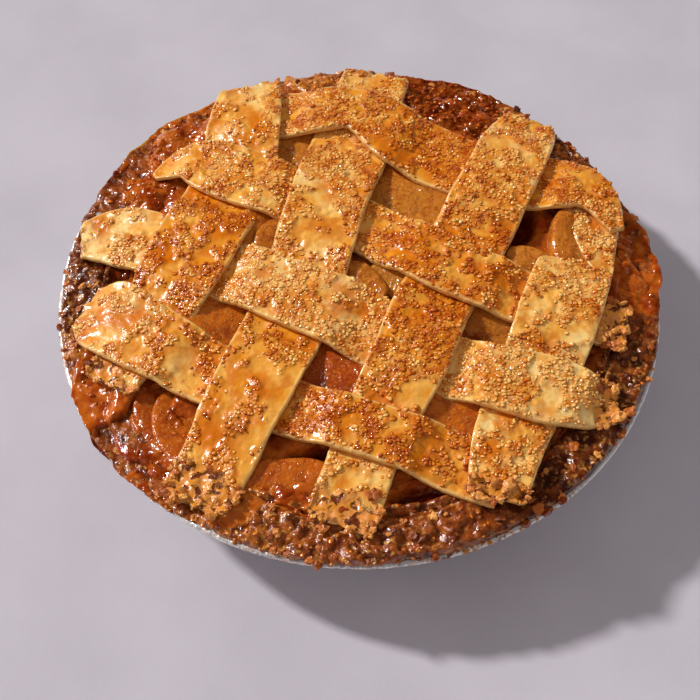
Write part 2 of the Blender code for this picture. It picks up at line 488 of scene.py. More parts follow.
@dataclass(frozen=True)
class EggWashedPastry:
    """Sweet pastry, brushed with egg, strewn with coarse sugar and baked."""

    pale: Colour = srgb(255, 216, 136)
    tan: Colour = srgb(255, 192, 88)
    amber: Colour = srgb(235, 148, 26)
    glaze: Colour = srgb(216, 108, 0)
    # toffee and caramel colour the caramel film, and also serve as painted shade in the hollows between
    # grains
    toffee: Colour = srgb(226, 122, 0)
    caramel: Colour = srgb(164, 54, 0)
    light_grain: Colour = srgb(255, 212, 118)
    dark_grain: Colour = srgb(222, 116, 8)
    # cut: paler cut edges and sides, partly their own colour and partly a painted glow of light through
    # the pastry
    cut: Colour = srgb(255, 210, 128)
    toasted: Colour = srgb(150, 62, 8)
    # painted shade for the gaps between crumbs at the strips' broken ends
    crevice_shade: Colour = srgb(120, 46, 2)
    broken: Colour = srgb(228, 146, 68)

    def make(self) -> Material:
        """Builds the material from the strips' painted values.

        Returns:
            The material.
        """
        graph = Graph("egg_washed_pastry")
        density = graph.paint("density")
        crust = graph.paint("crust")
        sound = graph.spread(graph.paint("crumbled"), 0.0, 0.5, 1.0, 0.0)
        beads = graph.times(graph.beads(0.00150, density), sound)
        grains = graph.times(graph.beads(0.00088, density), sound)
        colour, top, low = self._dough(graph)
        film = graph.times(crust, graph.spread(graph.noise(0.0024, 3.0), 0.38, 0.62, 0.1, 0.85))
        colour = graph.mix(film, colour, low)
        # Painted shade: round the foot of each grain and bead the colour goes to the hollows' caramel;
        # their tops take the sugar's own colour.
        colour = graph.mix(graph.spread(grains, 0.0, 0.16, 0.0, 0.6), colour, low)
        colour = graph.mix(graph.spread(grains, 0.25, 0.75, 0.0, 0.8), colour, top)
        colour = graph.mix(graph.spread(beads, 0.0, 0.14, 0.0, 0.9), colour, low)
        colour = graph.mix(graph.spread(beads, 0.30, 0.85, 0.0, 0.95), colour, top)
        # Cut edges and sides painted pale: their own paler colour plus a painted glow.
        colour = graph.mix(graph.paint("cut"), colour, self.cut)
        colour = graph.mix(graph.paint("toast"), colour, self.toasted)
        # The narrow gaps between the crumbled chunks are painted dark, as painted shade.
        broken = graph.spread(graph.noise(0.0034, 5.0, 0.6), 0.38, 0.47)
        loose = graph.mix(graph.spread(graph.noise(0.0022), 0.42, 0.60), self.broken, self.amber)
        loose = graph.mix(broken, self.crevice_shade, loose)
        colour = graph.mix(graph.paint("crumbled"), colour, loose)
        roughness = graph.roughness(0.004, 0.20, 0.38)
        roughness = graph.times(roughness, graph.spread(graph.paint("glaze"), 0.0, 0.6, 1.0, 0.8))
        roughness = graph.sum("ADD", roughness, graph.spread(graph.paint("crumbled"), 0.0, 1.0, 0.0, 0.1))
        normal = graph.bump(graph.noise(0.003, 3.0), 0.0003)
        melted = graph.times(graph.spread(crust, 0.0, 1.0, 0.2, 1.0), graph.noise(0.0013, 2.0))
        normal = graph.bump(melted, 0.00050, normal)
        normal = graph.bump(grains, 0.00045, normal)
        normal = graph.bump(beads, 0.00100, normal)
        normal = graph.bump(graph.times(broken, graph.paint("crumbled")), 0.0012, normal)
        return graph.finish(colour, roughness, normal, Coat_Weight=0.35, Coat_Roughness=0.14)

    def _dough(self, graph: Graph) -> tuple[Socket, ...]:
        """Colours the bare dough and the sugar on it, by how brown it was baked.

        Args:
            graph: the material's nodes.

        Returns:
            The colours of the dough, of the sugar, and of the caramel hollows, also painted shade at the
            grains' feet.
        """
        bake = graph.paint("bake")
        clump = graph.paint("clump")
        colour = graph.mix(graph.spread(bake, 0.0, 0.5), self.pale, self.tan)
        colour = graph.mix(graph.spread(bake, 0.45, 1.0), colour, self.amber)
        mottle = graph.spread(graph.noise(0.0045, 5.0), 0.46, 0.62, 0.0, 0.7)
        colour = graph.mix(mottle, colour, self.amber)
        stain = graph.spread(graph.noise(0.0100, 5.0, 0.8), 0.50, 0.60, 0.0, 0.6)
        colour = graph.mix(graph.times(stain, graph.spread(bake, 0.1, 0.6)), colour, self.glaze)
        colour = graph.mix(graph.paint("glaze"), colour, self.glaze)
        top = graph.mix(clump, self.light_grain, self.dark_grain)
        return colour, top, graph.mix(graph.spread(clump, 0.1, 0.8), self.toffee, self.caramel)


@dataclass(frozen=True)
class BakedEdge:
    """The crust's edge: dark, crumbly, burnt and glossy where syrup ran over it."""

    brown: Colour = srgb(168, 84, 28)
    dark: Colour = srgb(112, 42, 8)
    burnt: Colour = srgb(70, 24, 10)
    golden: Colour = srgb(214, 126, 40)
    crumb: Colour = srgb(236, 166, 76)
    # painted shade for the crevices between the edge's lumps
    crevice_shade: Colour = srgb(48, 12, 1)

    def make(self) -> Material:
        """Builds the material from the edge's painted values.

        Returns:
            The material.
        """
        graph = Graph("baked_edge")
        colour = graph.mix(graph.spread(graph.noise(0.0040), 0.38, 0.60), self.dark, self.brown)
        colour = graph.mix(graph.paint("golden"), colour, self.golden)
        colour = graph.mix(graph.paint("burnt"), colour, self.burnt)
        speckle = graph.spread(graph.noise(0.0019, 3.0), 0.55, 0.66, 0.0, 0.85)
        colour = graph.mix(graph.times(speckle, graph.paint("crumbly")), colour, self.crumb)
        # The gaps between the round lumps are painted dark, as painted shade.
        away = graph.cells(0.0026)
        colour = graph.mix(graph.spread(away, 0.45, 0.72, 0.0, 0.75), colour, self.crevice_shade)
        roughness = graph.roughness(0.002, 0.16, 0.36)
        normal = graph.bump(graph.noise(0.0014, 3.0), 0.0005)
        normal = graph.bump(graph.spread(away, 0.0, 0.7, 1.0, 0.0), 0.0006, normal)
        return graph.finish(colour, roughness, normal, Coat_Weight=0.5, Coat_Roughness=0.08)


@dataclass(frozen=True)
class CookedApple:
    """Apple slices, cooked soft and clear in syrup."""

    green: Colour = srgb(196, 128, 42)
    amber: Colour = srgb(210, 112, 26)
    red: Colour = srgb(156, 50, 10)
    pulp: Colour = srgb(222, 146, 66)

    def make(self) -> Material:
        """Builds the material from the slices' painted tone.

        Returns:
            The material.
        """
        graph = Graph("cooked_apple")
        tone = graph.paint("tone")
        colour = graph.mix(graph.spread(tone, 0.0, 0.5), self.green, self.amber)
        colour = graph.mix(graph.spread(tone, 0.5, 1.0), colour, self.red)
        stain = graph.spread(graph.noise(0.006), 0.48, 0.68, 0.0, 0.5)
        colour = graph.mix(stain, colour, self.red)
        vein = graph.spread(graph.noise(0.0034, 4.0, 1.2), 0.36, 0.48, 0.5, 0.0)
        colour = graph.mix(vein, colour, self.red)
        fleck = graph.spread(graph.noise(0.0016, 3.0), 0.54, 0.68, 0.0, 0.4)
        colour = graph.mix(fleck, colour, self.pulp)
        roughness = graph.roughness(0.003, 0.14, 0.28)
        pins = graph.beads(0.0016, 0.5, 0.15, 0.40)
        colour = graph.mix(graph.spread(pins, 0.0, 1.0, 0.0, 0.5), colour, self.pulp)
        normal = graph.bump(graph.noise(0.0044, 2.0), 0.0013)
        normal = graph.bump(graph.noise(0.0014, 2.0), 0.00035, normal)
        normal = graph.bump(pins, 0.00040, normal)
        return graph.finish(
            colour,
            roughness,
            normal,
            Coat_Weight=0.9,
            Coat_Roughness=0.06,
            Subsurface_Weight=0.35,
            Subsurface_Radius=(1.0, 0.45, 0.12),
            Subsurface_Scale=0.0035,
        )


@dataclass(frozen=True)
class CaramelSyrup:
    """Apple juice and sugar, boiled to a glossy caramel with apple pulp in it."""

    light: Colour = srgb(206, 106, 28)
    middle: Colour = srgb(158, 60, 12)
    dark: Colour = srgb(88, 16, 2)

    def make(self) -> Material:
        """Builds the material from the syrup's painted values.

        Returns:
            The material.
        """
        graph = Graph("caramel_syrup")
        colour = graph.mix(graph.spread(graph.noise(0.006), 0.40, 0.60), self.middle, self.light)
        colour = graph.mix(graph.paint("dark"), colour, self.dark)
        away = graph.cells(0.0018)
        pulp = graph.spread(away, 0.15, 0.5, 0.5, 0.0)
        colour = graph.mix(graph.times(pulp, graph.paint("bubbly")), colour, self.light)
        # Painted shade: the narrow gaps between the bubbles are painted dark.
        gap_shade = graph.times(graph.spread(away, 0.5, 0.75, 0.0, 0.5), graph.paint("bubbly"))
        colour = graph.mix(gap_shade, colour, self.dark)
        roughness = graph.roughness(0.003, 0.10, 0.22)
        normal = graph.bump(graph.noise(0.0052, 1.0), 0.0015)
        normal = graph.bump(graph.noise(0.0018, 1.0), 0.00020, normal)
        bubbles = graph.times(graph.paint("bubbly"), graph.spread(away, 0.0, 0.6, 1.0, 0.0))
        normal = graph.bump(bubbles, 0.0005, normal)
        return graph.finish(
            colour,
            roughness,
            normal,
            Coat_Weight=0.9,
            Coat_Roughness=0.05,
            Subsurface_Weight=0.35,
            Subsurface_Radius=(1.0, 0.40, 0.10),
            Subsurface_Scale=0.003,
        )


@dataclass(frozen=True)
class CoarseSugar:
    """Raw sugar grains, half melted in the oven."""

    clear: Colour = srgb(255, 208, 116)
    amber: Colour = srgb(234, 130, 18)
    brown: Colour = srgb(172, 56, 0)

    def make(self) -> Material:
        """Builds the material from the grains' painted tone, which holds a painted highlight on their tops
        and painted shade round their feet.

        Returns:
            The material.
        """
        graph = Graph("coarse_sugar")
        tone = graph.paint("tone")
        colour = graph.mix(graph.spread(tone, 0.0, 0.4), self.clear, self.amber)
        colour = graph.mix(graph.spread(tone, 0.4, 1.0), colour, self.brown)
        roughness = graph.roughness(0.0012, 0.18, 0.32)
        normal = graph.bump(graph.noise(0.0008, 2.0), 0.00022)
        return graph.finish(colour, roughness, normal, Coat_Weight=1.0, Coat_Roughness=0.07)


@dataclass(frozen=True)
class PastryCrumb:
    """Broken bits of baked pastry."""

    pale: Colour = srgb(244, 168, 76)
    brown: Colour = srgb(196, 98, 18)
    dark: Colour = srgb(100, 36, 4)

    def make(self) -> Material:
        """Builds the material from the crumbs' painted tone.

        Returns:
            The material.
        """
        graph = Graph("pastry_crumb")
        tone = graph.paint("tone")
        colour = graph.mix(graph.spread(tone, 0.0, 0.6), self.pale, self.brown)
        colour = graph.mix(graph.spread(tone, 0.6, 1.0), colour, self.dark)
        stain = graph.spread(graph.noise(0.0018), 0.5, 0.7, 0.0, 0.6)
        colour = graph.mix(stain, colour, self.brown)
        roughness = graph.roughness(0.001, 0.3, 0.6)
        normal = graph.bump(graph.noise(0.0009, 3.0), 0.0006)
        return graph.finish(colour, roughness, normal, Coat_Weight=0.35, Coat_Roughness=0.10)


@dataclass(frozen=True)
class ThinFoil:
    """Thin aluminium foil, creased, with baked-on syrup near its rim."""

    metal: Colour = (0.93, 0.92, 0.90, 1.0)
    stain: Colour = srgb(196, 118, 22)
    burnt: Colour = srgb(96, 40, 10)

    def make(self) -> Material:
        """Builds the material from the tin's painted stains.

        Returns:
            The material.
        """
        graph = Graph("thin_foil")
        painted = graph.paint("stain")
        stain = graph.spread(graph.noise(0.0014), 0.44, 0.56, 0.0, 1.0)
        stain = graph.times(stain, painted)
        tint = graph.mix(graph.spread(graph.noise(0.004), 0.45, 0.65), self.stain, self.burnt)
        colour = graph.mix(stain, self.metal, tint)
        roughness = graph.roughness(0.003, 0.18, 0.38)
        normal = graph.bump(graph.noise(0.0016, 3.0, 0.6), 0.00050)
        # Bare foil is only partly metallic: its pale diffuse colour is a painted sheen standing in for the
        # room light that metal would reflect.
        graph.links.new(graph.spread(stain, 0.0, 1.0, 0.40, 0.05), graph.shader.inputs["Metallic"])
        return graph.finish(colour, roughness, normal)


@dataclass(frozen=True)
class PaleFloor:
    """A plain pale grey worktop."""

    light: Colour = srgb(199, 194, 202)
    shade: Colour = srgb(190, 185, 193)

    def make(self) -> Material:
        """Builds the material.

        Returns:
            The material.
        """
        graph = Graph("pale_floor")
        colour = graph.mix(graph.spread(graph.noise(0.06, 6.0), 0.35, 0.65), self.shade, self.light)
        roughness = graph.roughness(0.02, 0.60, 0.75)
        normal = graph.bump(graph.noise(0.002, 4.0), 0.00006)
        return graph.finish(colour, roughness, normal)


class Probe:
    """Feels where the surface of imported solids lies."""

    def __init__(self, nodes: list[bpy.types.Object]) -> None:
        """Gathers the solids' faces.

        Args:
            nodes: the solids.
        """
        points: list[Vector] = []
        faces: list[list[int]] = []
        for node in nodes:
            start = len(points)
            points.extend(vertex.co.copy() for vertex in node.data.vertices)
            faces.extend([start + index for index in face.vertices] for face in node.data.polygons)
        self.tree = BVHTree.FromPolygons(points, faces)

    def heights(self, x: Array, y: Array, missing: float) -> Array:
        """Height of the solids' top at each place.

        Args:
            x: where to feel, along X.
            y: where to feel, along Y.
            missing: what to give where there is no solid.

        Returns:
            The heights, in the shape of x.
        """
        found = np.full(x.size, missing)
        for index, (px, py) in enumerate(zip(x.ravel(), y.ravel())):
            hit = self.tree.ray_cast(Vector((px, py, ABOVE_ALL)), DOWN)[0]
            if hit is not None:
                found[index] = hit.z
        return found.reshape(x.shape)

    def covered(self, points: Array, clearance: float) -> Array:
        """Tells which points have a solid over them, from a clearance above each point."""
        start = points + np.array([0.0, 0.0, clearance])
        return np.array([self.tree.ray_cast(Vector(p), UP)[0] is not None for p in start], bool)

    def reach(self, angles: Array, height: float, outside: float) -> Array:
        """How far out the solids reach.

        Args:
            angles: the directions to look in.
            height: the height to look at.
            outside: a radius that lies outside the solids.

        Returns:
            The outer radius at each angle.
        """
        radii = np.zeros(len(angles))
        for index, angle in enumerate(angles):
            way = Vector((math.cos(angle), math.sin(angle), 0.0))
            hit = self.tree.ray_cast(outside * way + height * UP, -way)[0]
            radii[index] = hit.xy.length if hit is not None else 0.0
        return radii


class Family(Enum):
    """The two directions that the strips run in, with the axis that each is ordered along."""

    WEFT = ("weft_strip", 0)
    WARP = ("warp_strip", 1)


@dataclass
class Ribbon:
    """A strip's path: its two edges in plan, and its underside's height across it."""

    left: Array
    right: Array
    heights: Array

    @classmethod
    def from_solid(cls, node: bpy.types.Object, axis: int) -> "Ribbon":
        """Finds a strip's sections in its solid, which has points straight above one another.

        Args:
            node: the strip's solid.
            axis: the axis along which its start comes first.

        Returns:
            The ribbon, section by section.
        """
        tolerance = 0.00002
        edge_lift = 0.0003
        points = np.unique(np.round([v.co[:] for v in node.data.vertices], 7), axis=0)
        apart = np.linalg.norm(points[:, None, :2] - points[None, :, :2], axis=2)
        rise = points[None, :, 2] - points[:, None, 2]
        low, high = np.nonzero((apart < tolerance) & (rise > 10.0 * tolerance))
        height = rise[low, high]
        in_middle = height > 0.8 * height.max()
        middles = cls._in_order(points[low[in_middle]], axis)
        edges = points[low[~in_middle]]
        halfway = 0.5 * (edges[:, None, :2] + edges[None, :, :2])
        left, right, heights = [], [], []
        for index, middle in enumerate(middles):
            off = np.linalg.norm(halfway - middle[:2], axis=2)
            np.fill_diagonal(off, 1.0)
            first, second = np.unravel_index(off.argmin(), off.shape)
            ahead = middles[min(index + 1, len(middles) - 1)] - middles[max(index - 1, 0)]
            offset = edges[first] - middle
            if ahead[0] * offset[1] - ahead[1] * offset[0] < 0.0:
                first, second = second, first
            left.append(edges[first][:2])
            right.append(edges[second][:2])
            heights.append((edges[first][2] - edge_lift, middle[2], edges[second][2] - edge_lift))
        return cls(np.array(left), np.array(right), np.array(heights))

    @staticmethod
    def _in_order(middles: Array, axis: int) -> Array:
        """Sorts the sections' middles from one end of the strip to the other.

        Args:
            middles: the middles, in any order.
            axis: the axis along which the start comes first.

        Returns:
            The middles in order.
        """
        away = np.linalg.norm(middles - middles.mean(0), axis=1)
        left_over = list(range(len(middles)))
        chain = [int(away.argmax())]
        left_over.remove(chain[0])
        while left_over:
            steps = [np.linalg.norm(middles[i] - middles[chain[-1]]) for i in left_over]
            chain.append(left_over.pop(int(np.argmin(steps))))
        if middles[chain[0], axis] > middles[chain[-1], axis]:
            chain.reverse()
        return middles[chain]

    def resampled(self, spacing: float, softness: float) -> "Ribbon":
        """The same ribbon with closer sections and without kinks.

        Args:
            spacing: distance from one section to the next.
            softness: length over which kinks are rounded.

        Returns:
            The finer ribbon.
        """
        middle = 0.5 * (self.left + self.right)
        steps = np.linalg.norm(np.diff(middle, axis=0), axis=1)
        steps += 0.5 * np.abs(np.diff(np.linalg.norm(self.right - self.left, axis=1)))
        place = np.concatenate([[0.0], np.cumsum(steps)])
        count = int(round(place[-1] / spacing)) + 1
        wanted = np.linspace(0.0, place[-1], count)
        reach = int(3.0 * softness / spacing)
        kernel = np.exp(-0.5 * (np.arange(-reach, reach + 1) * spacing / softness) ** 2)
        kernel /= kernel.sum()
        parts = []
        for values in (self.left, self.right, self.heights):
            columns = []
            for column in values.T:
                fine = np.interp(wanted, place, column)
                before = 2.0 * fine[0] - fine[reach:0:-1]
                after = 2.0 * fine[-1] - fine[-2 : -reach - 2 : -1]
                padded = np.concatenate([before, fine, after])
                columns.append(np.convolve(padded, kernel, mode="valid"))
            parts.append(np.stack(columns, -1))
        return Ribbon(*parts)


@dataclass(frozen=True)
class Bake:
    """How one strip came out of the oven, from its start to its end.

    The shares of sugar, browning and glaze are given at even distances along the strip. The wear
    tells how unevenly its ends are broken off, and the crumbs how far in they fell to crumbs. The
    slant is how much shorter the left corner of the end is than the right one.
    """

    sugar: tuple[float, ...]
    brown: tuple[float, ...]
    glaze: tuple[float, ...]
    start_wear: float
    end_wear: float
    start_crumbs: float = 0.0
    end_crumbs: float = 0.0
    end_slant: float = 0.0

    @staticmethod
    def along(shares: tuple[float, ...], place: Array) -> Array:
        """The share at each place, which runs from 0 at the start to 1 at the end."""
        return np.interp(place, np.linspace(0.0, 1.0, len(shares)), shares)


@dataclass
class Bed:
    """Places that loose things can lie on, with how likely each is, and how brown they get there."""

    points: Array
    weights: Array
    tones: Array

    def scaled(self, share: float) -> "Bed":
        """The same bed, less likely by a share."""
        return Bed(self.points, share * self.weights, self.tones)


@dataclass
class PastryStrip:
    """One strip of the lattice, shaped on its solid, with baked sugar, blisters and cut edges."""

    name: str
    number: int
    ribbon: Ribbon
    bake: Bake
    spacing: float = 0.00060
    softness: float = 0.0017
    thickness: float = 0.0021
    rounding: float = 0.0007
    wall_foot: float = 0.0003
    underside_points: int = 7
    wobble: float = 0.00022
    unevenness: float = 0.00040
    grain_size: float = 0.0027
    grain_height: float = 0.00050
    blister_size: float = 0.0062
    blister_height: float = 0.0006

    def __post_init__(self) -> None:
        """Gives the strip its own noise."""
        self.noise = Noise(100 + self.number)

    def _edges(self) -> tuple[Array, Array, Array]:
        """The strip's two uneven edges and its underside, section by section.

        Returns:
            The left edge, the right edge and the heights across.
        """
        fine = self.ribbon.resampled(self.spacing, self.softness)
        across = fine.right - fine.left
        across /= np.linalg.norm(across, axis=1, keepdims=True)
        edges = []
        for side, line in ((1.0, fine.left), (2.0, fine.right)):
            spots = np.c_[line, np.full(len(line), 0.1 * side + 0.01 * self.number)]
            shift = self.wobble * self.noise.layered(spots, 0.007)
            shift += 0.35 * self.wobble * self.noise.smooth(spots, 0.0016)
            edges.append(line + shift[:, None] * across)
        return edges[0], edges[1], fine.heights

    def _columns(self, width: Array) -> Array:
        """Distances from the left edge at which the top has points.

        Args:
            width: the strip's width at each section.

        Returns:
            The distances, section by section.
        """
        near = self.rounding * np.array([0.0, 0.1, 0.35, 0.75])
        count = int(np.percentile(width, 60) / self.spacing)
        middle = np.linspace(0.0, 1.0, count)[None, :]
        inner = self.rounding * 1.2 + middle * (width[:, None] - 2.4 * self.rounding)
        sections = len(width)
        left = np.broadcast_to(near, (sections, len(near)))
        right = width[:, None] - left[:, ::-1]
        return np.concatenate([left, inner, right], axis=1)

    def _relief(
        self,
        x: Array,
        y: Array,
        along: Array,
        length: float,
    ) -> tuple[Array, dict[str, Array]]:
        """The top's baked relief: sugar crust, blisters, unevenness and crumbled ends.

        Args:
            x: the points' places along X.
            y: the points' places along Y.
            along: each point's distance from the strip's start.
            length: the strip's length.

        Returns:
            The height of the relief, and the values that colour it.
        """
        flat = np.c_[x.ravel(), y.ravel(), np.full(x.size, 0.013 * self.number)]
        along = along.ravel()
        place = along / length
        radius = np.hypot(flat[:, 0], flat[:, 1])
        patch = 0.70 * self.noise.layered(flat, 0.0085, 2) + 0.30 * self.noise.smooth(flat, 0.020)
        density = np.clip(self.bake.along(self.bake.sugar, place) + patch + 0.02, 0.03, 0.97)
        away, chance = self.noise.cells(flat, self.grain_size)
        grain = dome(away, 0.62) * (chance < density) * (0.45 + 0.55 * (chance * 7.0 % 1.0))
        far, luck = self.noise.cells(flat + 0.5, self.blister_size)
        glaze = self.bake.along(self.bake.glaze, place)
        blister = dome(far, 0.30) ** 2 * (luck < 0.10 + 0.3 * glaze)
        crust = smooth_step(2.6 * (density - 0.30))
        height = self.unevenness * self.noise.layered(flat, 0.013, 2)
        height += self.grain_height * grain + self.blister_height * blister
        height += 0.00030 * crust + 0.00012 * self.noise.layered(flat, 0.0024, 2)
        brown = self.bake.along(self.bake.brown, place) + 0.45 * self.noise.smooth(flat + 0.3, 0.012)
        pool = smooth_step(1.1 * self.noise.smooth(flat + 0.7, 0.012) + glaze - 0.15)
        clump = 0.38 + 0.75 * self.noise.layered(flat + 0.9, 0.0046, 2) + 0.8 * (brown - 0.5)
        toast = 0.8 * smooth_step((radius - 0.099) / 0.016)
        toast *= smooth_step(0.4 + self.noise.layered(flat, 0.006))
        crumbled = self._crumbled(along, length, flat)
        height += crumbled * (0.0008 * self.noise.layered(flat + 0.2, 0.0040, 2) - 0.0007 - height)
        paint = {
            "grain": 0.9 * grain,
            "crust": crust,
            "clump": np.clip(clump, 0.0, 1.0),
            "bake": np.clip(brown, 0.0, 1.0),
            "glaze": 0.85 * pool * (1.0 - 0.7 * grain),
            "toast": toast,
            "density": density,
            "crumbled": crumbled,
        }
        return height.reshape(x.shape), {k: v.reshape(x.shape) for k, v in paint.items()}

    def _crumbled(self, along: Array, length: float, flat: Array) -> Array:
        """Where the strip's ends fell to crumbs.

        Args:
            along: each point's distance from the strip's start.
            length: the strip's length.
            flat: the points.

        Returns:
            The share of crumbs at each point.
        """
        uneven = 0.0035 * self.noise.layered(flat + 0.4, 0.009, 2)
        share = np.zeros(len(along))
        for away, reach in ((along, self.bake.start_crumbs), (length - along, self.bake.end_crumbs)):
            if reach > 0.0:
                share = np.maximum(share, smooth_step((reach - away + uneven) / 0.0018))
        return share

    def draft(self) -> tuple[Draft, Bed, Bed]:
        """Shapes the strip.

        Returns:
            The strip's draft, its top as a bed for loose sugar, and its crumbled ends as a bed.
        """
        left, right, under = self._edges()
        sections = len(left)
        width = np.linalg.norm(right - left, axis=1)
        across = (right - left) / width[:, None]
        inward = self._columns(width)
        columns = inward.shape[1]
        share = inward / width[:, None]
        centre = 0.5 * (left + right)
        ahead = np.gradient(centre, axis=0)
        ahead /= np.linalg.norm(ahead, axis=1, keepdims=True)
        place = left[:, None, :] + inward[:, :, None] * across[:, None, :]
        along = np.arange(sections) * self.spacing
        slant = self.bake.end_slant * (1.0 - share) * smooth_step(1.0 - along[::-1] / 0.012)[:, None]
        place += (self._end_shift(place, along) - slant)[:, :, None] * ahead[:, None, :]
        side = 2.0 * share - 1.0
        low, middle, high = (under[:, k][:, None] for k in range(3))
        base = middle + 0.5 * (high - low) * side + (0.5 * (high + low) - middle) * side**2
        to_side = np.minimum(inward, width[:, None] - inward)
        to_end = np.minimum(along, along[::-1])[:, None]
        to_edge = np.minimum(to_side, np.broadcast_to(to_end, to_side.shape))
        drop = self.rounding * (1.0 - dome(np.clip(self.rounding - to_edge, 0.0, None), self.rounding))
        far = np.broadcast_to(along[:, None], to_side.shape)
        relief, paint = self._relief(place[:, :, 0], place[:, :, 1], far, float(along[-1]))
        grain = paint.pop("grain")
        calm = 0.05 + 0.95 * smooth_step(to_edge / 0.0014)
        rows = self._rings(place, base, base + self.thickness - drop + relief * calm)
        # The cut edges and sides are painted pale, partly as their own colour and partly as a painted glow
        # of light shining through the pastry.
        cut = 1.0 - smooth_step((to_edge - 0.0002) / 0.0014)
        before = 2
        beside = ((0, 0), (before, rows.shape[1] - columns - before))
        values = {"cut": 0.7 * cut * (1.0 - 0.8 * grain), **paint}
        bare = {"cut": 0.55, "bake": 0.4}
        painted = {k: np.pad(v, beside, constant_values=bare.get(k, 0.0)) for k, v in values.items()}
        on_top = rows[:, before : before + columns].reshape(-1, 3)
        return self._closed(rows, painted), *self._beds(on_top, to_edge, paint)

    def _rings(self, place: Array, base: Array, top: Array) -> Array:
        """Rings of points round the strip: up one side, over the top, down and back underneath.

        Args:
            place: the top's points in plan, section by section.
            base: height of the underside below each of them.
            top: height of each of them.

        Returns:
            The rings, as sections, points and coordinates.
        """
        foot = base + self.wall_foot
        halfway = 0.5 * (foot + top)
        picks = np.linspace(place.shape[1] - 1, 0, self.underside_points + 2).astype(int)[1:-1]
        rings = [
            self._wall(place[:, 0], foot[:, 0]),
            self._wall(place[:, 0], halfway[:, 0]),
            np.concatenate([place, top[:, :, None]], axis=2),
            self._wall(place[:, -1], halfway[:, -1]),
            self._wall(place[:, -1], foot[:, -1]),
            np.concatenate([place[:, picks], base[:, picks, None]], axis=2),
        ]
        return np.concatenate(rings, axis=1)

    def _beds(self, on_top: Array, to_edge: Array, paint: dict[str, Array]) -> tuple[Bed, Bed]:
        """Where loose things lie on the strip.

        Args:
            on_top: the top's points.
            to_edge: each one's distance from the strip's edge.
            paint: the values that colour them.

        Returns:
            The bed for loose sugar and the bed for crumbs.
        """
        sound = (to_edge > 0.0006) * (1.0 - 0.9 * paint["crumbled"])
        flat = on_top * np.array([1.0, 1.0, 0.0]) + 0.01 * self.number
        heaped = smooth_step(0.55 + 1.3 * self.noise.smooth(flat, 0.0030)).reshape(sound.shape)
        likely = (0.006 + paint["crust"] ** 1.5 * (0.25 + heaped)) * sound
        sugar = Bed(on_top, likely.ravel(), (0.06 + 0.74 * paint["clump"]).ravel())
        return sugar, Bed(on_top, paint["crumbled"].ravel(), np.full(len(on_top), 0.25))

    def _end_shift(self, place: Array, along: Array) -> Array:
        """How far points near the two ends are moved along the strip, to break the ends off.

        Args:
            place: the points in plan.
            along: each section's distance from the start.

        Returns:
            The shift of each point, forwards.
        """
        spots = np.c_[place.reshape(-1, 2), np.full(place[:, :, 0].size, 0.02 * self.number)]
        uneven = self.noise.layered(spots, 0.0045).reshape(place.shape[:2])
        fade = 0.007
        at_start = smooth_step(1.0 - along / fade)[:, None]
        at_end = smooth_step(1.0 - along[::-1] / fade)[:, None]
        return uneven * (self.bake.start_wear * at_start + self.bake.end_wear * at_end)

    @staticmethod
    def _wall(plan: Array, height: Array) -> Array:
        """One line of points down a cut side."""
        return np.concatenate([plan, height[:, None]], axis=1)[:, None, :]

    @staticmethod
    def _closed(rows: Array, paint: dict[str, Array]) -> Draft:
        """Closes the strip's rings of points into one body.

        Args:
            rows: the rings, section by section.
            paint: the painted values, in the same shape.

        Returns:
            The draft.
        """
        sections, around = rows.shape[:2]
        ends = np.stack([rows[0].mean(0), rows[-1].mean(0)])
        points = np.concatenate([rows.reshape(-1, 3), ends])
        here = np.arange(around)
        there = (here + 1) % around
        last = (sections - 1) * around
        start = np.stack([np.full(around, sections * around), there, here], -1)
        end = np.stack([np.full(around, sections * around + 1), last + here, last + there], -1)
        sides = grid_faces(sections, around)[:, ::-1]
        values = {k: np.append(v.ravel(), [v[0].mean(), v[-1].mean()]) for k, v in paint.items()}
        return Draft(points, [sides, start, end], values)


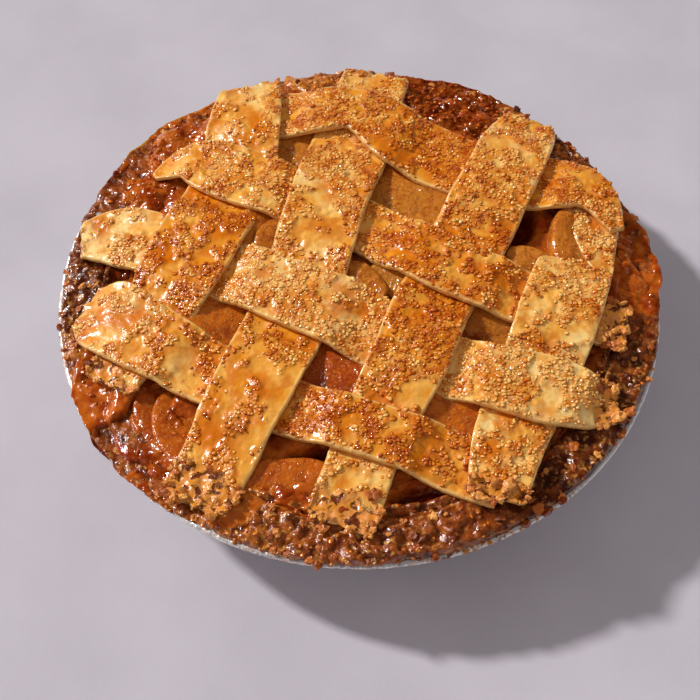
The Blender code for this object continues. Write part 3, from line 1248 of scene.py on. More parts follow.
BAKES: dict[str, Bake] = {
    "weft_strip_1": Bake(
        sugar=(0.45, 0.80, 0.80, 0.65, 0.70, 0.85),
        brown=(0.35, 0.60, 0.95, 0.90, 0.65, 0.90),
        glaze=(0.30, 0.20, 0.25, 0.30, 0.20, 0.10),
        start_wear=0.0015,
        end_wear=0.0006,
    ),
    "weft_strip_2": Bake(
        sugar=(0.10, 0.70, 0.75, 0.50, 0.55, 0.25),
        brown=(0.50, 0.50, 0.50, 0.85, 0.60, 0.15),
        glaze=(0.60, 0.25, 0.10, 0.55, 0.20, 0.00),
        start_wear=0.0006,
        end_wear=0.0018,
        end_crumbs=0.010,
    ),
    "weft_strip_3": Bake(
        sugar=(0.20, 0.60, 0.70, 0.55, 0.75, 0.45),
        brown=(0.12, 0.30, 0.15, 0.20, 0.20, 0.05),
        glaze=(0.10, 0.25, 0.15, 0.10, 0.05, 0.00),
        start_wear=0.0012,
        end_wear=0.0022,
        end_crumbs=0.011,
    ),
    "weft_strip_4": Bake(
        sugar=(0.20, 0.45, 0.40, 0.75, 0.75, 0.45),
        brown=(0.25, 0.45, 0.60, 0.95, 0.95, 0.50),
        glaze=(0.50, 0.35, 0.35, 0.40, 0.40, 0.10),
        start_wear=0.0016,
        end_wear=0.0012,
    ),
    "warp_strip_1": Bake(
        sugar=(0.65, 0.45, 0.70, 0.50, 0.40, 0.55),
        brown=(0.15, 0.70, 1.00, 0.95, 0.45, 0.30),
        glaze=(0.05, 0.35, 0.65, 0.55, 0.20, 0.05),
        start_wear=0.0016,
        end_wear=0.0018,
        start_crumbs=0.008,
        end_slant=0.0050,
    ),
    "warp_strip_2": Bake(
        sugar=(0.55, 0.35, 0.40, 0.65, 0.75, 0.75),
        brown=(0.55, 0.75, 0.65, 0.40, 0.35, 0.35),
        glaze=(0.05, 0.25, 0.30, 0.10, 0.10, 0.05),
        start_wear=0.0026,
        end_wear=0.0020,
        start_crumbs=0.015,
    ),
    "warp_strip_3": Bake(
        sugar=(0.45, 0.35, 0.70, 0.60, 0.70, 0.75),
        brown=(0.25, 0.45, 0.95, 0.85, 0.40, 0.35),
        glaze=(0.00, 0.10, 0.30, 0.30, 0.10, 0.00),
        start_wear=0.0028,
        end_wear=0.0010,
        start_crumbs=0.011,
    ),
    "warp_strip_4": Bake(
        sugar=(0.75, 0.60, 0.65, 0.80, 0.55, 0.45),
        brown=(0.40, 0.30, 0.30, 0.35, 0.30, 0.10),
        glaze=(0.05, 0.10, 0.10, 0.15, 0.05, 0.00),
        start_wear=0.0022,
        end_wear=0.0010,
        start_crumbs=0.009,
    ),
}


@dataclass
class Lattice:
    """The eight woven strips."""

    nodes: dict[str, bpy.types.Object]
    strips_each_way: int = 4
    bakes: dict[str, Bake] = field(default_factory=lambda: BAKES)

    def build(self, pastry: Material) -> tuple[list[Bed], list[Bed]]:
        """Makes the strips.

        Args:
            pastry: their finish.

        Returns:
            Each strip's top as a bed for loose sugar, and its crumbled ends as one for crumbs.
        """
        tops, broken = [], []
        for family in Family:
            prefix, axis = family.value
            for number in range(1, self.strips_each_way + 1):
                name = f"{prefix}_{number}"
                ribbon = Ribbon.from_solid(self.nodes[name], axis)
                strip = PastryStrip(name, 10 * axis + number, ribbon, self.bakes[name])
                draft, top, ends = strip.draft()
                draft.to_object(f"{name}_baked", pastry, "glazed_pastry", (name,))
                tops.append(top)
                broken.append(ends)
        return tops, broken


@dataclass
class FoilTin:
    """The thin foil tin: floor, pleated wall, flange and rolled bead."""

    radius: float
    height: float
    floor_radius: float = 0.0868
    wall_top_radius: float = 0.1090
    wall_top_height: float = 0.0308
    foil: float = 0.0004
    bead_radius: float = 0.0012
    pleats: int = 80
    pleat_depth: float = 0.00075
    steps: int = 640
    stains: tuple[Arc, ...] = (
        Arc(218.0, 22.0),
        Arc(262.0, 30.0, 0.6),
        Arc(296.0, 24.0),
        Arc(190.0, 14.0, 0.7),
        Arc(20.0, 30.0, 0.4),
    )

    def build(self, foil: Material) -> bpy.types.Object:
        """Makes the tin.

        Args:
            foil: its finish.

        Returns:
            The piece.
        """
        noise = Noise(7)
        angles = round_angles(self.steps)
        turn = np.abs((angles * self.pleats / (2.0 * np.pi)) % 1.0 - 0.5) * 2.0
        spots = ring_spots(angles, 0.1)
        pleat = self.pleat_depth * (0.8 + 0.4 * noise.smooth(spots, 0.01)) * (turn - 0.5)
        crimp = 0.00016 * np.sin(150.0 * angles + 3.0 * noise.smooth(spots, 0.02))
        crimp += 0.00022 * noise.layered(spots, 0.006)
        bead = self.radius - self.bead_radius
        bead_height = self.height - self.bead_radius
        rows = []
        for share in (0.02, 0.5, 0.9, 0.985):
            rows.append((share * self.floor_radius, self.foil, 0.0))
        for share in np.linspace(0.0, 1.0, 7):
            radius = self.floor_radius + share * (self.wall_top_radius - self.floor_radius)
            rows.append((radius, self.foil + share * (self.wall_top_height - self.foil), share))
        rows.append((bead - 1.6 * self.bead_radius, bead_height - 0.4 * self.bead_radius, 0.5))
        for point in np.linspace(160.0, -80.0, 13):
            turned = math.radians(point)
            out, up = self.bead_radius * math.cos(turned), self.bead_radius * math.sin(turned)
            rows.append((bead + out, bead_height + up, -1.0))
        rows.append((bead - 0.5 * self.bead_radius, bead_height - 0.75 * self.bead_radius, 0.3))
        for share in np.linspace(1.0, 0.0, 11):
            radius = self.floor_radius + share * (self.wall_top_radius - self.floor_radius)
            rows.append((radius + self.foil, share * (self.wall_top_height - self.foil), share))
        for share in (0.985, 0.9, 0.5, 0.02):
            rows.append((share * self.floor_radius, 0.0, 0.0))
        radii = np.array([row[0] for row in rows])[:, None] + np.zeros(self.steps)
        heights = np.array([row[1] for row in rows])[:, None] + np.zeros(self.steps)
        pleated = np.clip([row[2] for row in rows], 0.0, 1.0)[:, None]
        on_bead = np.array([row[2] < 0.0 for row in rows])[:, None]
        radii = radii + pleated * pleat + on_bead * np.minimum(crimp, 0.0)
        heights = heights + on_bead * 0.5 * crimp * (heights > bead_height)
        draft = turned_draft(ring_points(radii, heights, angles))
        near_rim = smooth_step((heights - 0.7 * self.height) / (0.25 * self.height))
        stain = strongest(self.stains, angles)[None, :] * near_rim
        draft.paint["stain"] = np.append(stain.ravel(), [0.0, 0.0])
        return draft.to_object("foil_tin", foil, "foil", ("tin",))


@dataclass
class RimShape:
    """The pie's round edge: its height, felt on the solids, and how far it hangs out over the tin."""

    probe: Probe
    rest: float
    felt_to: float = 0.1103
    reach: float = 0.1136
    syrup: tuple[Arc, ...] = (Arc(129.0, 36.0), Arc(216.0, 30.0), Arc(6.0, 24.0), Arc(69.0, 22.0))
    bulges: tuple[Arc, ...] = (
        Arc(9.0, 15.0, 0.0026),
        Arc(62.0, 14.0, 0.0014),
        Arc(143.0, 20.0, 0.0022),
        Arc(158.0, 10.0, 0.0010),
        Arc(219.0, 18.0, 0.0016),
        Arc(231.0, 8.0, 0.0012),
        Arc(262.0, 18.0, 0.0006),
        Arc(352.0, 12.0, 0.0010),
    )

    def outline(self, angles: Array, noise: Noise) -> Array:
        """How far out the edge reaches.

        Args:
            angles: the directions to look in.
            noise: what makes it uneven.

        Returns:
            The radius at each angle.
        """
        ring = ring_spots(angles, 0.11)
        uneven = 0.0007 * noise.layered(ring, 0.012, 4) + 0.0004 * noise.smooth(ring, 0.0025)
        return self.reach + strongest(self.bulges, angles) + uneven

    def heights(self, radii: Array, outer: Array, angles: Array) -> Array:
        """Height of the rounded edge.

        Args:
            radii: radius of each point, as rings and steps.
            outer: how far out the edge reaches at each step.
            angles: angle of each step.

        Returns:
            The heights, in the shape of radii.
        """
        felt = np.minimum(radii, self.felt_to)
        height = self.probe.heights(felt * np.cos(angles), felt * np.sin(angles), self.rest)
        kernel = np.ones(9) / 9.0
        wide = np.concatenate([height[:, -4:], height, height[:, :4]], axis=1)
        height = np.stack([np.convolve(row, kernel, mode="valid") for row in wide])
        over = np.clip((radii - self.felt_to) / (outer - self.felt_to), 0.0, 1.0)
        return self.rest + (height - self.rest) * np.sqrt(1.0 - over**2.4)


@dataclass
class CrustEdge:
    """The pastry case, whose baked edge rises round the pie."""

    rim: RimShape
    floor: float = 0.0009
    thickness: float = 0.0036
    floor_radius: float = 0.0860
    wall_radius: float = 0.1076
    wall_height: float = 0.0316
    inner_radius: float = 0.0955
    steps: int = 1040
    top_rows: int = 34
    burnt: tuple[Arc, ...] = (Arc(322.0, 36.0), Arc(176.0, 24.0, 0.75), Arc(36.0, 18.0, 0.6))
    golden: tuple[Arc, ...] = (
        Arc(98.0, 24.0, 0.9),
        Arc(38.0, 24.0, 0.5),
        Arc(200.0, 12.0, 0.8),
        Arc(244.0, 16.0, 0.7),
        Arc(336.0, 14.0, 0.4),
    )
    crumbly: tuple[Arc, ...] = (
        Arc(252.0, 46.0),
        Arc(34.0, 36.0, 0.8),
        Arc(97.0, 30.0),
        Arc(190.0, 26.0, 0.9),
        Arc(322.0, 36.0, 0.55),
        Arc(124.0, 24.0, 0.7),
    )

    def build(self, baked: Material) -> Bed:
        """Makes the case and its edge.

        Args:
            baked: its finish.

        Returns:
            The edge's top, as a bed for crumbs and grains.
        """
        noise = Noise(21)
        angles = round_angles(self.steps)
        outer = self.rim.outline(angles, noise)
        share = 1.0 - (1.0 - np.linspace(0.0, 1.0, self.top_rows)[:, None]) ** 1.5
        radii = self.inner_radius + share * (outer - self.inner_radius)
        heights = self.rim.heights(radii, outer, angles)
        flat = ring_points(radii, heights, angles).reshape(-1, 3)
        crumbly = np.tile(strongest(self.crumbly, angles), self.top_rows)
        burnt = np.tile(strongest(self.burnt, angles), self.top_rows)
        relief = self._relief(flat, crumbly, burnt, noise).reshape(radii.shape)
        under = strongest(self.rim.syrup, angles)
        relief = relief * (1.0 - 0.8 * under) - 0.0008 * under
        relief *= smooth_step((outer - radii) / 0.0008)
        relief = np.maximum(relief, self.rim.rest - heights)
        top = ring_points(radii, heights + relief, angles)
        level = np.ones((1, self.steps))
        hang = self.rim.rest - 1.2 * np.clip(outer - 0.1148, 0.0, None)[None, :]
        below = [
            (outer[None, :] - 0.0003, hang - 0.0003),
            (outer[None, :] - 0.0016, hang),
            ((self.wall_radius + 0.0014) * level, (self.wall_height + 0.0008) * level),
            (self.wall_radius * level, self.wall_height * level),
            (self.floor_radius * level, self.floor * level),
            (0.02 * level, self.floor * level),
        ]
        inside_floor = self.floor + self.thickness
        inside = [
            (0.02 * level, inside_floor * level),
            ((self.floor_radius - self.thickness) * level, inside_floor * level),
            (radii[:1] - 0.0008, heights[:1] - 0.0040),
        ]
        rows = np.concatenate(
            [
                *[ring_points(radius, height, angles) for radius, height in inside],
                top,
                *[ring_points(radius, height, angles) for radius, height in below],
            ]
        )
        draft = turned_draft(rows)
        golden = np.tile(strongest(self.golden, angles), self.top_rows)
        patchy = smooth_step(0.5 + 1.1 * noise.layered(flat, 0.006))
        lit = smooth_step(0.35 + 1.2 * noise.layered(flat + 0.2, 0.006))
        for key, values in (
            ("crumbly", 0.2 + 0.8 * crumbly),
            ("burnt", 0.95 * burnt * (0.4 + 0.6 * patchy)),
            ("golden", golden * lit),
        ):
            values = values.reshape(radii.shape)
            stack = [*[values[0]] * len(inside), *values, *[values[-1]] * len(below)]
            draft.paint[key] = np.append(np.concatenate(stack), [0.0, 0.0])
        draft.to_object("crust_with_edge", baked, "baked_edge", ("pastry_case",))
        far_out = smooth_step((radii - outer + 0.0050) / 0.002).ravel()
        bare = 1.0 - (0.97 - 0.50 * far_out) * np.tile(under, self.top_rows)
        return Bed(top.reshape(-1, 3), (0.10 + crumbly * (1.0 - 0.6 * burnt)) * bare, 0.52 + 0.1 * burnt)

    @staticmethod
    def _relief(
        flat: Array,
        crumbly: Array,
        burnt: Array,
        noise: Noise,
    ) -> Array:
        """The edge's rugged relief.

        Args:
            flat: the edge's points.
            crumbly: how crumbly each point is.
            burnt: how burnt each point is.
            noise: what makes it uneven.

        Returns:
            The height of the relief at each point.
        """
        relief = 0.0010 * noise.layered(flat, 0.0085, 2)
        near, chance = noise.cells(flat, 0.0046)
        relief += (0.0007 + 0.0008 * crumbly) * dome(near, 0.72) * (chance < 0.7)
        small, luck = noise.cells(flat + 0.3, 0.0021)
        relief += 0.0005 * crumbly * dome(small, 0.6) * (luck < 0.5) * (1.0 - 0.5 * burnt)
        return relief - 0.0014 * smooth_step(2.4 * np.abs(noise.smooth(flat, 0.0070)) - 0.9)


@dataclass(frozen=True)
class Pit:
    """A hollow between the apple pieces: its middle, half sizes, turn in degrees and depth."""

    x: float
    y: float
    half_length: float
    half_width: float
    turn: float
    depth: float

    def share(self, x: Array, y: Array) -> Array:
        """How far each place lies in the hollow, from 0 at its rim to 1 inside."""
        turn = math.radians(self.turn)
        along = ((x - self.x) * math.cos(turn) + (y - self.y) * math.sin(turn)) / self.half_length
        across = ((y - self.y) * math.cos(turn) - (x - self.x) * math.sin(turn)) / self.half_width
        return smooth_step(1.8 * (1.0 - np.hypot(along, across)))


@dataclass(frozen=True)
class SlicePlace:
    """Where one apple slice lies: its place, its turns in degrees, its size and its tone."""

    x: float
    y: float
    heading: float
    roll: float
    length: float
    width: float
    tone: float
    rise: float = 0.0
    thickness: float = 0.0070


@dataclass(frozen=True)
class ChunkField:
    """A stretch of the edge strewn with soft lumps of apple."""

    arc: Arc
    inner: float
    outer: float
    count: int
    smallest: float
    largest: float
    tone: float


@dataclass
class Filling:
    """The apple filling: a core of pulp, boiled syrup round the edge, slices and lumps."""

    probe: Probe
    rim: RimShape
    core_radius: float = 0.0945
    core_steps: int = 400
    core_rows: int = 66
    core_drop: float = 0.0006
    bottom: float = 0.0050
    bottom_radius: float = 0.0815
    ring_inner: float = 0.0845
    ring_steps: int = 920
    ring_rows: int = 44
    pits: tuple[Pit, ...] = (
        Pit(0.0625, 0.0270, 0.013, 0.009, 80.0, 0.0055),
        Pit(-0.0715, -0.0500, 0.009, 0.005, 60.0, 0.0060),
        Pit(-0.0130, -0.0760, 0.018, 0.006, 12.0, 0.0060),
        Pit(0.0230, -0.0905, 0.017, 0.006, 8.0, 0.0060),
        Pit(-0.0420, 0.0290, 0.010, 0.006, 60.0, 0.0035),
        Pit(0.0420, -0.0130, 0.012, 0.006, -20.0, 0.0030),
    )
    sheet_start: float = 201.0
    sheet_ends: tuple[tuple[float, float], ...] = ((0.086, 209.3), (0.102, 215.5), (0.112, 214.6))
    sheet_lift: float = 0.0020
    sheet_cut: float = 0.0032
    bubbly: tuple[Arc, ...] = (Arc(66.0, 22.0), Arc(146.0, 26.0, 0.6), Arc(219.0, 30.0, 0.5))
    dark: tuple[Arc, ...] = (Arc(66.0, 22.0, 0.8), Arc(320.0, 40.0, 0.7), Arc(178.0, 20.0, 0.8))
    slices: tuple[SlicePlace, ...] = (
        SlicePlace(0.0235, 0.0415, -25.0, 0.0, 0.060, 0.042, 0.14, 0.0036),
        SlicePlace(-0.0270, 0.0690, 20.0, 5.0, 0.036, 0.028, 0.12, 0.0034),
        SlicePlace(-0.0350, 0.0240, 75.0, 18.0, 0.034, 0.022, 0.30, 0.0036),
        SlicePlace(0.0160, -0.0030, -35.0, 8.0, 0.022, 0.015, 0.05, 0.0036),
        SlicePlace(0.0010, -0.0030, -35.0, 0.0, 0.020, 0.013, 0.20, 0.0034, 0.0060),
        SlicePlace(-0.0325, 0.0160, 60.0, 10.0, 0.017, 0.015, 0.22, 0.0046, 0.0070),
        SlicePlace(0.0655, 0.0070, -30.0, 0.0, 0.017, 0.013, 0.15, 0.0032, 0.0080),
        SlicePlace(0.0060, 0.0130, -25.0, 0.0, 0.046, 0.024, 0.45, 0.0018),
        SlicePlace(0.0850, 0.0170, 84.0, 16.0, 0.046, 0.024, 0.25, 0.0042, 0.0100),
        SlicePlace(0.0500, -0.0215, -20.0, 8.0, 0.038, 0.018, 0.15, 0.0030),
        SlicePlace(-0.0510, -0.0160, 60.0, 12.0, 0.042, 0.028, 0.45, 0.0036),
        SlicePlace(-0.0100, -0.0390, -20.0, 0.0, 0.048, 0.030, 0.85, 0.0032),
        SlicePlace(0.0330, -0.0590, 15.0, 12.0, 0.044, 0.028, 0.50, 0.0036),
        SlicePlace(-0.0625, -0.0650, 117.0, 12.0, 0.038, 0.020, 0.66, 0.0012, 0.0060),
        SlicePlace(-0.0715, -0.0590, 112.0, 16.0, 0.034, 0.018, 0.80, -0.0004, 0.0060),
        SlicePlace(-0.0805, -0.0672, 130.0, 0.0, 0.016, 0.012, 1.00, -0.0002, 0.0080),
        SlicePlace(-0.0280, -0.0860, 10.0, 8.0, 0.048, 0.020, 0.58, 0.0026),
    )
    chunks: tuple[ChunkField, ...] = (
        ChunkField(Arc(136.0, 22.0), 0.096, 0.106, 12, 0.0045, 0.0070, 0.72),
        ChunkField(Arc(225.0, 10.0), 0.098, 0.105, 7, 0.0045, 0.0065, 0.90),
        ChunkField(Arc(8.0, 14.0), 0.100, 0.107, 9, 0.0045, 0.0070, 0.75),
        ChunkField(Arc(69.0, 12.0), 0.094, 0.103, 8, 0.0035, 0.0055, 0.88),
        ChunkField(Arc(256.0, 22.0), 0.092, 0.098, 6, 0.0035, 0.0055, 0.78),
    )

    def build(self, syrup: Material, apple: Material) -> Bed:
        """Makes the filling.

        Args:
            syrup: finish of the core and the boiled syrup.
            apple: finish of the slices and lumps.

        Returns:
            The boiled syrup's top, as a bed for grains.
        """
        self._build_core(syrup)
        bed = self._build_ring(syrup)
        self._build_slices(apple)
        self._build_chunks(apple)
        return bed

    def _sunk(self, x: Array, y: Array) -> tuple[Array, Array]:
        """How deep the hollows are at each place.

        Args:
            x: the places along X.
            y: the places along Y.

        Returns:
            The depth, and how far each place lies in a hollow.
        """
        shares = np.stack([pit.share(x, y) for pit in self.pits])
        depths = np.array([pit.depth for pit in self.pits]).reshape(-1, *[1] * x.ndim)
        return (shares * depths).max(0), shares.max(0)

    def _build_core(self, syrup: Material) -> None:
        """Makes the pulpy core that the slices lie in.

        Args:
            syrup: its finish.
        """
        noise = Noise(31)
        angles = round_angles(self.core_steps)
        share = np.linspace(0.01, 1.0, self.core_rows)[:, None]
        radii = share * self.core_radius + np.zeros(self.core_steps)
        x, y = radii * np.cos(angles), radii * np.sin(angles)
        depth, in_pit = self._sunk(x, y)
        fall = 0.004 * smooth_step((radii - self.core_radius + 0.004) / 0.004)
        heights = self.probe.heights(x, y, 0.036) - self.core_drop - depth - fall
        flat = np.c_[x.ravel(), y.ravel(), np.zeros(x.size)]
        lump, chance = noise.cells(flat, 0.0085)
        relief = 0.0015 * dome(lump, 0.75) * (0.3 + 0.7 * chance)
        relief += 0.0006 * noise.layered(flat, 0.005) - 0.0006
        top = ring_points(radii, heights + relief.reshape(x.shape), angles)
        below = [
            (self.core_radius + 0.0012, float(heights[-1].min()) - 0.004),
            (self.bottom_radius, self.bottom),
            (0.02, self.bottom),
        ]
        rings = [
            ring_points(np.full((1, self.core_steps), r), np.full((1, self.core_steps), h), angles)
            for r, h in below
        ]
        draft = turned_draft(np.concatenate([top, *rings]))
        extra = len(below) * self.core_steps + 2
        # Dark syrup in patches, and the hollows painted fully dark as painted shade.
        dark = np.maximum(0.6 * smooth_step(0.3 + 0.9 * noise.layered(flat, 0.012)), in_pit.ravel())
        draft.paint["dark"] = np.append(dark, np.zeros(extra))
        bubbly = smooth_step(0.3 + noise.smooth(flat + 0.2, 0.014)) * (1.0 - in_pit.ravel())
        draft.paint["bubbly"] = np.append(bubbly, np.zeros(extra))
        draft.to_object("filling_core", syrup, "apple_filling", ("apple_filling",))

    def _build_ring(self, syrup: Material) -> Bed:
        """Makes the syrup that boiled up round the edge and out over it.

        Args:
            syrup: its finish.

        Returns:
            Its top, as a bed for grains.
        """
        noise = Noise(41)
        angles = round_angles(self.ring_steps)
        cover = strongest(self.rim.syrup, angles)
        edge = self.rim.outline(angles, Noise(21))
        ring = ring_spots(angles, 0.1)
        outer = 0.1030 + cover * (edge + 0.0006 - 0.1030) + 0.0008 * noise.layered(ring, 0.008)
        share = 1.0 - (1.0 - np.linspace(0.0, 1.0, self.ring_rows)[:, None]) ** 1.3
        radii = self.ring_inner + share * (outer - self.ring_inner)
        heights = self.rim.heights(radii, np.maximum(outer, self.rim.felt_to + 0.001), angles)
        depth, in_pit = self._sunk(radii * np.cos(angles), radii * np.sin(angles))
        dip = 0.0030 * smooth_step(1.0 - (radii - self.ring_inner) / 0.005)
        sink = 0.0022 * (1.0 - cover) * smooth_step((radii - 0.0985) / 0.003)
        lifted, calm, hollow_shade = self._sheet(radii, angles)
        heights = heights - (dip + depth) * (1.0 - calm) - sink + 0.0004 * cover + lifted
        flat = ring_points(radii, heights, angles).reshape(-1, 3)
        bubbly = np.tile(strongest(self.bubbly, angles), self.ring_rows) * (1.0 - calm.ravel())
        lump, chance = noise.cells(flat, 0.0075)
        relief = 0.0022 * dome(lump, 0.85) * (0.2 + 0.8 * chance)
        bubble, luck = noise.cells(flat + 0.2, 0.0022)
        relief += 0.0006 * bubbly * dome(bubble, 0.6) * (luck < 0.7)
        relief += 0.0007 * noise.layered(flat, 0.0050, 2) - 0.0006
        relief = relief.reshape(radii.shape) * (1.0 - 0.85 * calm)
        relief *= smooth_step((outer - radii) / 0.0010)
        top = ring_points(radii, heights + relief, angles)
        low = heights[-1:] - 0.0012
        sides = [
            (outer[None, :] - 0.0004, low),
            (outer[None, :] - 0.0030, low - 0.0006),
            (np.full((1, self.ring_steps), self.ring_inner + 0.004), heights[:1] - 0.006),
        ]
        rows = np.concatenate([top, *[ring_points(r, h, angles) for r, h in sides]])
        faces = grid_faces(len(rows), self.ring_steps, wrap_rows=True)
        draft = Draft(rows.reshape(-1, 3), [faces])
        dark = np.tile(strongest(self.dark, angles), self.ring_rows)
        dark = np.clip(dark + 0.45 * noise.layered(flat, 0.010), 0.0, 0.9)
        # The hollows, and the cavity beneath the sheet's lip, are painted dark as painted shade.
        dark = np.maximum(dark, in_pit.ravel())
        dark = np.maximum(dark * (1.0 - 0.9 * calm.ravel()), hollow_shade.ravel())
        for key, values in (("dark", dark), ("bubbly", bubbly)):
            last = values.reshape(radii.shape)[-1]
            draft.paint[key] = np.concatenate([values, *[last] * len(sides)])
        draft.to_object("boiled_syrup", syrup, "apple_filling")
        likely = np.tile(cover, self.ring_rows) * (0.1 + bubbly)
        likely *= (radii < outer - 0.0030).ravel()
        return Bed(top.reshape(-1, 3), likely, 0.5 + 0.0 * likely)

    def _sheet(self, radii: Array, angles: Array) -> tuple[Array, ...]:
        """The smooth sheet of set syrup that ends in a lip over the hollow beside it.

        Args:
            radii: radius of each point, as rings and steps.
            angles: angle of each step.

        Returns:
            How far each point is lifted, how smooth it is, and how far it lies in the hollow, which is
            painted dark as painted shade.
        """
        degrees = np.degrees(angles)[None, :]
        end = np.interp(radii, *zip(*self.sheet_ends))
        inside = smooth_step((radii - self.ring_inner - 0.0005) / 0.003)
        started = smooth_step((degrees - self.sheet_start) / 6.0)
        before = smooth_step((end - degrees) / 1.8)
        after = (1.0 - before) * smooth_step((end + 11.0 - degrees) / 7.0)
        calm = started * before * inside
        lip = 0.5 + 0.5 * smooth_step(1.0 - (end - degrees) / 5.0)
        return inside * (self.sheet_lift * calm * lip - self.sheet_cut * after), calm, inside * after

    def _stance(self, x: float, y: float) -> tuple[float, Array]:
        """Height and lean of the filling's surface at a place.

        Args:
            x: the place along X.
            y: the place along Y.

        Returns:
            The height, and the matrix that leans things the way the surface leans.
        """
        step = 0.005
        xs = np.array([x, x + step, x - step, x, x])
        ys = np.array([y, y, y, y + step, y - step])
        felt = self.probe.heights(xs, ys, self.rim.rest)
        slope = Vector((felt[2] - felt[1], felt[4] - felt[3], 2.0 * step)).normalized()
        return float(felt[0]), np.array(UP.rotation_difference(slope).to_matrix())

    def _build_slices(self, apple: Material) -> None:
        """Lays the apple slices into the filling.

        Args:
            apple: their finish.
        """
        noise = Noise(51)
        blocks, faces, tones = [], [], []
        start = 0
        for place in self.slices:
            points, quads = self._slice_shape(place, noise)
            height, lean = self._stance(place.x, place.y)
            points = points @ lean.T
            lift = height + place.rise - 0.5 * place.thickness
            points = points + np.array([place.x, place.y, lift])
            blocks.append(points)
            faces.append(quads + start)
            tones.append(np.full(len(points), place.tone))
            start += len(points)
        draft = Draft(np.concatenate(blocks), faces, {"tone": np.concatenate(tones)})
        draft.to_object("apple_slices", apple, "apple_filling")

    def _slice_shape(self, place: SlicePlace, noise: Noise) -> tuple[Array, Array]:
        """One cooked apple slice, a soft crescent, turned as its place says.

        Args:
            place: the slice's place and size.
            noise: the noise that makes it uneven.

        Returns:
            Its points round its own middle, and its faces.
        """
        rows, around = 34, 36
        bend = math.radians(50.0)
        curve = place.length / (2.0 * math.sin(bend))
        along = np.sin(np.linspace(-0.5, 0.5, rows) * np.pi)
        turn = round_angles(around)
        taper = np.clip(1.0 - np.abs(along) ** 2.8, 0.0, 1.0) ** 0.5 + 0.02
        side = np.sign(np.cos(turn)) * np.abs(np.cos(turn)) ** 0.70
        rise = np.sign(np.sin(turn)) * np.abs(np.sin(turn)) ** 0.50
        wedge = 0.66 + 0.34 * side
        radial = 0.5 * place.width * taper[:, None] * side[None, :]
        upward = 0.5 * place.thickness * taper[:, None] ** 0.5 * (rise * wedge)[None, :]
        angle = (along * bend)[:, None]
        x = (curve + radial) * np.sin(angle)
        y = (curve + radial) * np.cos(angle) - curve
        points = np.stack([x, y, upward], -1).reshape(-1, 3)
        spots = points + np.array([place.x, place.y, place.tone])
        points += 0.0007 * noise.smooth(spots, 0.012)[:, None]
        points[:, 2] += 0.0005 * noise.layered(spots + 0.5, 0.007)
        turn_about(points, 1, 2, place.roll)
        turn_about(points, 0, 1, place.heading)
        return points, self._capped(rows, around)

    @staticmethod
    def _capped(rows: int, around: int) -> Array:
        """Faces of a slice, closed at both narrow ends.

        Args:
            rows: how many rings the slice has.
            around: how many points each ring has.

        Returns:
            The faces.
        """
        sides = grid_faces(rows, around)[:, ::-1]
        caps = []
        for first, flip in ((0, False), ((rows - 1) * around, True)):
            for step in range(around // 2 - 1):
                near = [first + step, first + step + 1]
                quad = [*near, first + around - 2 - step, first + around - 1 - step]
                caps.append(quad if flip else quad[::-1])
        return np.concatenate([sides, np.array(caps)])

    def _build_chunks(self, apple: Material) -> None:
        """Sets soft lumps of apple into the boiled edge.

        Args:
            apple: their finish.
        """
        rng = np.random.default_rng(52)
        noise = Noise(53)
        shape, faces = ball(3)
        blocks, face_blocks, tones = [], [], []
        for stretch in self.chunks:
            for _ in range(stretch.count):
                degrees = stretch.arc.middle + stretch.arc.half_width * rng.uniform(-1.0, 1.0)
                radius = rng.uniform(stretch.inner, stretch.outer)
                turn = math.radians(degrees)
                x, y = radius * math.cos(turn), radius * math.sin(turn)
                height, lean = self._stance(x, y)
                size = rng.uniform(stretch.smallest, stretch.largest)
                body = shape * size * np.array([rng.uniform(1.0, 1.5), rng.uniform(0.8, 1.1), 0.50])
                spots = body + 0.1 * len(blocks)
                body = body * (1.0 + 0.30 * noise.layered(spots, 1.3 * size, 2))[:, None]
                body = body @ (random_turns(rng, 1)[0] * 0.35 + np.eye(3) * 0.8).T @ lean.T
                blocks.append(body + np.array([x, y, height - 0.28 * size]))
                face_blocks.append(faces + (len(blocks) - 1) * len(shape))
                tone = np.clip(stretch.tone + rng.uniform(-0.25, 0.15), 0.0, 1.0)
                tones.append(np.full(len(body), tone))
        draft = Draft(np.concatenate(blocks), face_blocks, {"tone": np.concatenate(tones)})
        draft.to_object("apple_lumps", apple, "apple_filling")


def ball(subdivisions: int) -> tuple[Array, Array]:
    """A ball of triangles with unit radius.

    Args:
        subdivisions: how finely it is divided; 1 gives twenty triangles.

    Returns:
        Its points and its faces.
    """
    bm = bmesh.new()
    bmesh.ops.create_icosphere(bm, subdivisions=subdivisions, radius=1.0)
    points = np.array([vertex.co[:] for vertex in bm.verts])
    faces = np.array([[vertex.index for vertex in face.verts] for face in bm.faces])
    bm.free()
    return points, faces


def random_turns(rng: np.random.Generator, count: int) -> Array:
    """Random rotations.

    Args:
        rng: where the draws come from.
        count: how many to make.

    Returns:
        A rotation matrix for each.
    """
    draws = rng.normal(size=(count, 4))
    w, x, y, z = (draws / np.linalg.norm(draws, axis=1, keepdims=True)).T
    rows = (
        (1 - 2 * (y * y + z * z), 2 * (x * y - z * w), 2 * (x * z + y * w)),
        (2 * (x * y + z * w), 1 - 2 * (x * x + z * z), 2 * (y * z - x * w)),
        (2 * (x * z - y * w), 2 * (y * z + x * w), 1 - 2 * (x * x + y * y)),
    )
    return np.stack([np.stack(row, -1) for row in rows], 1)


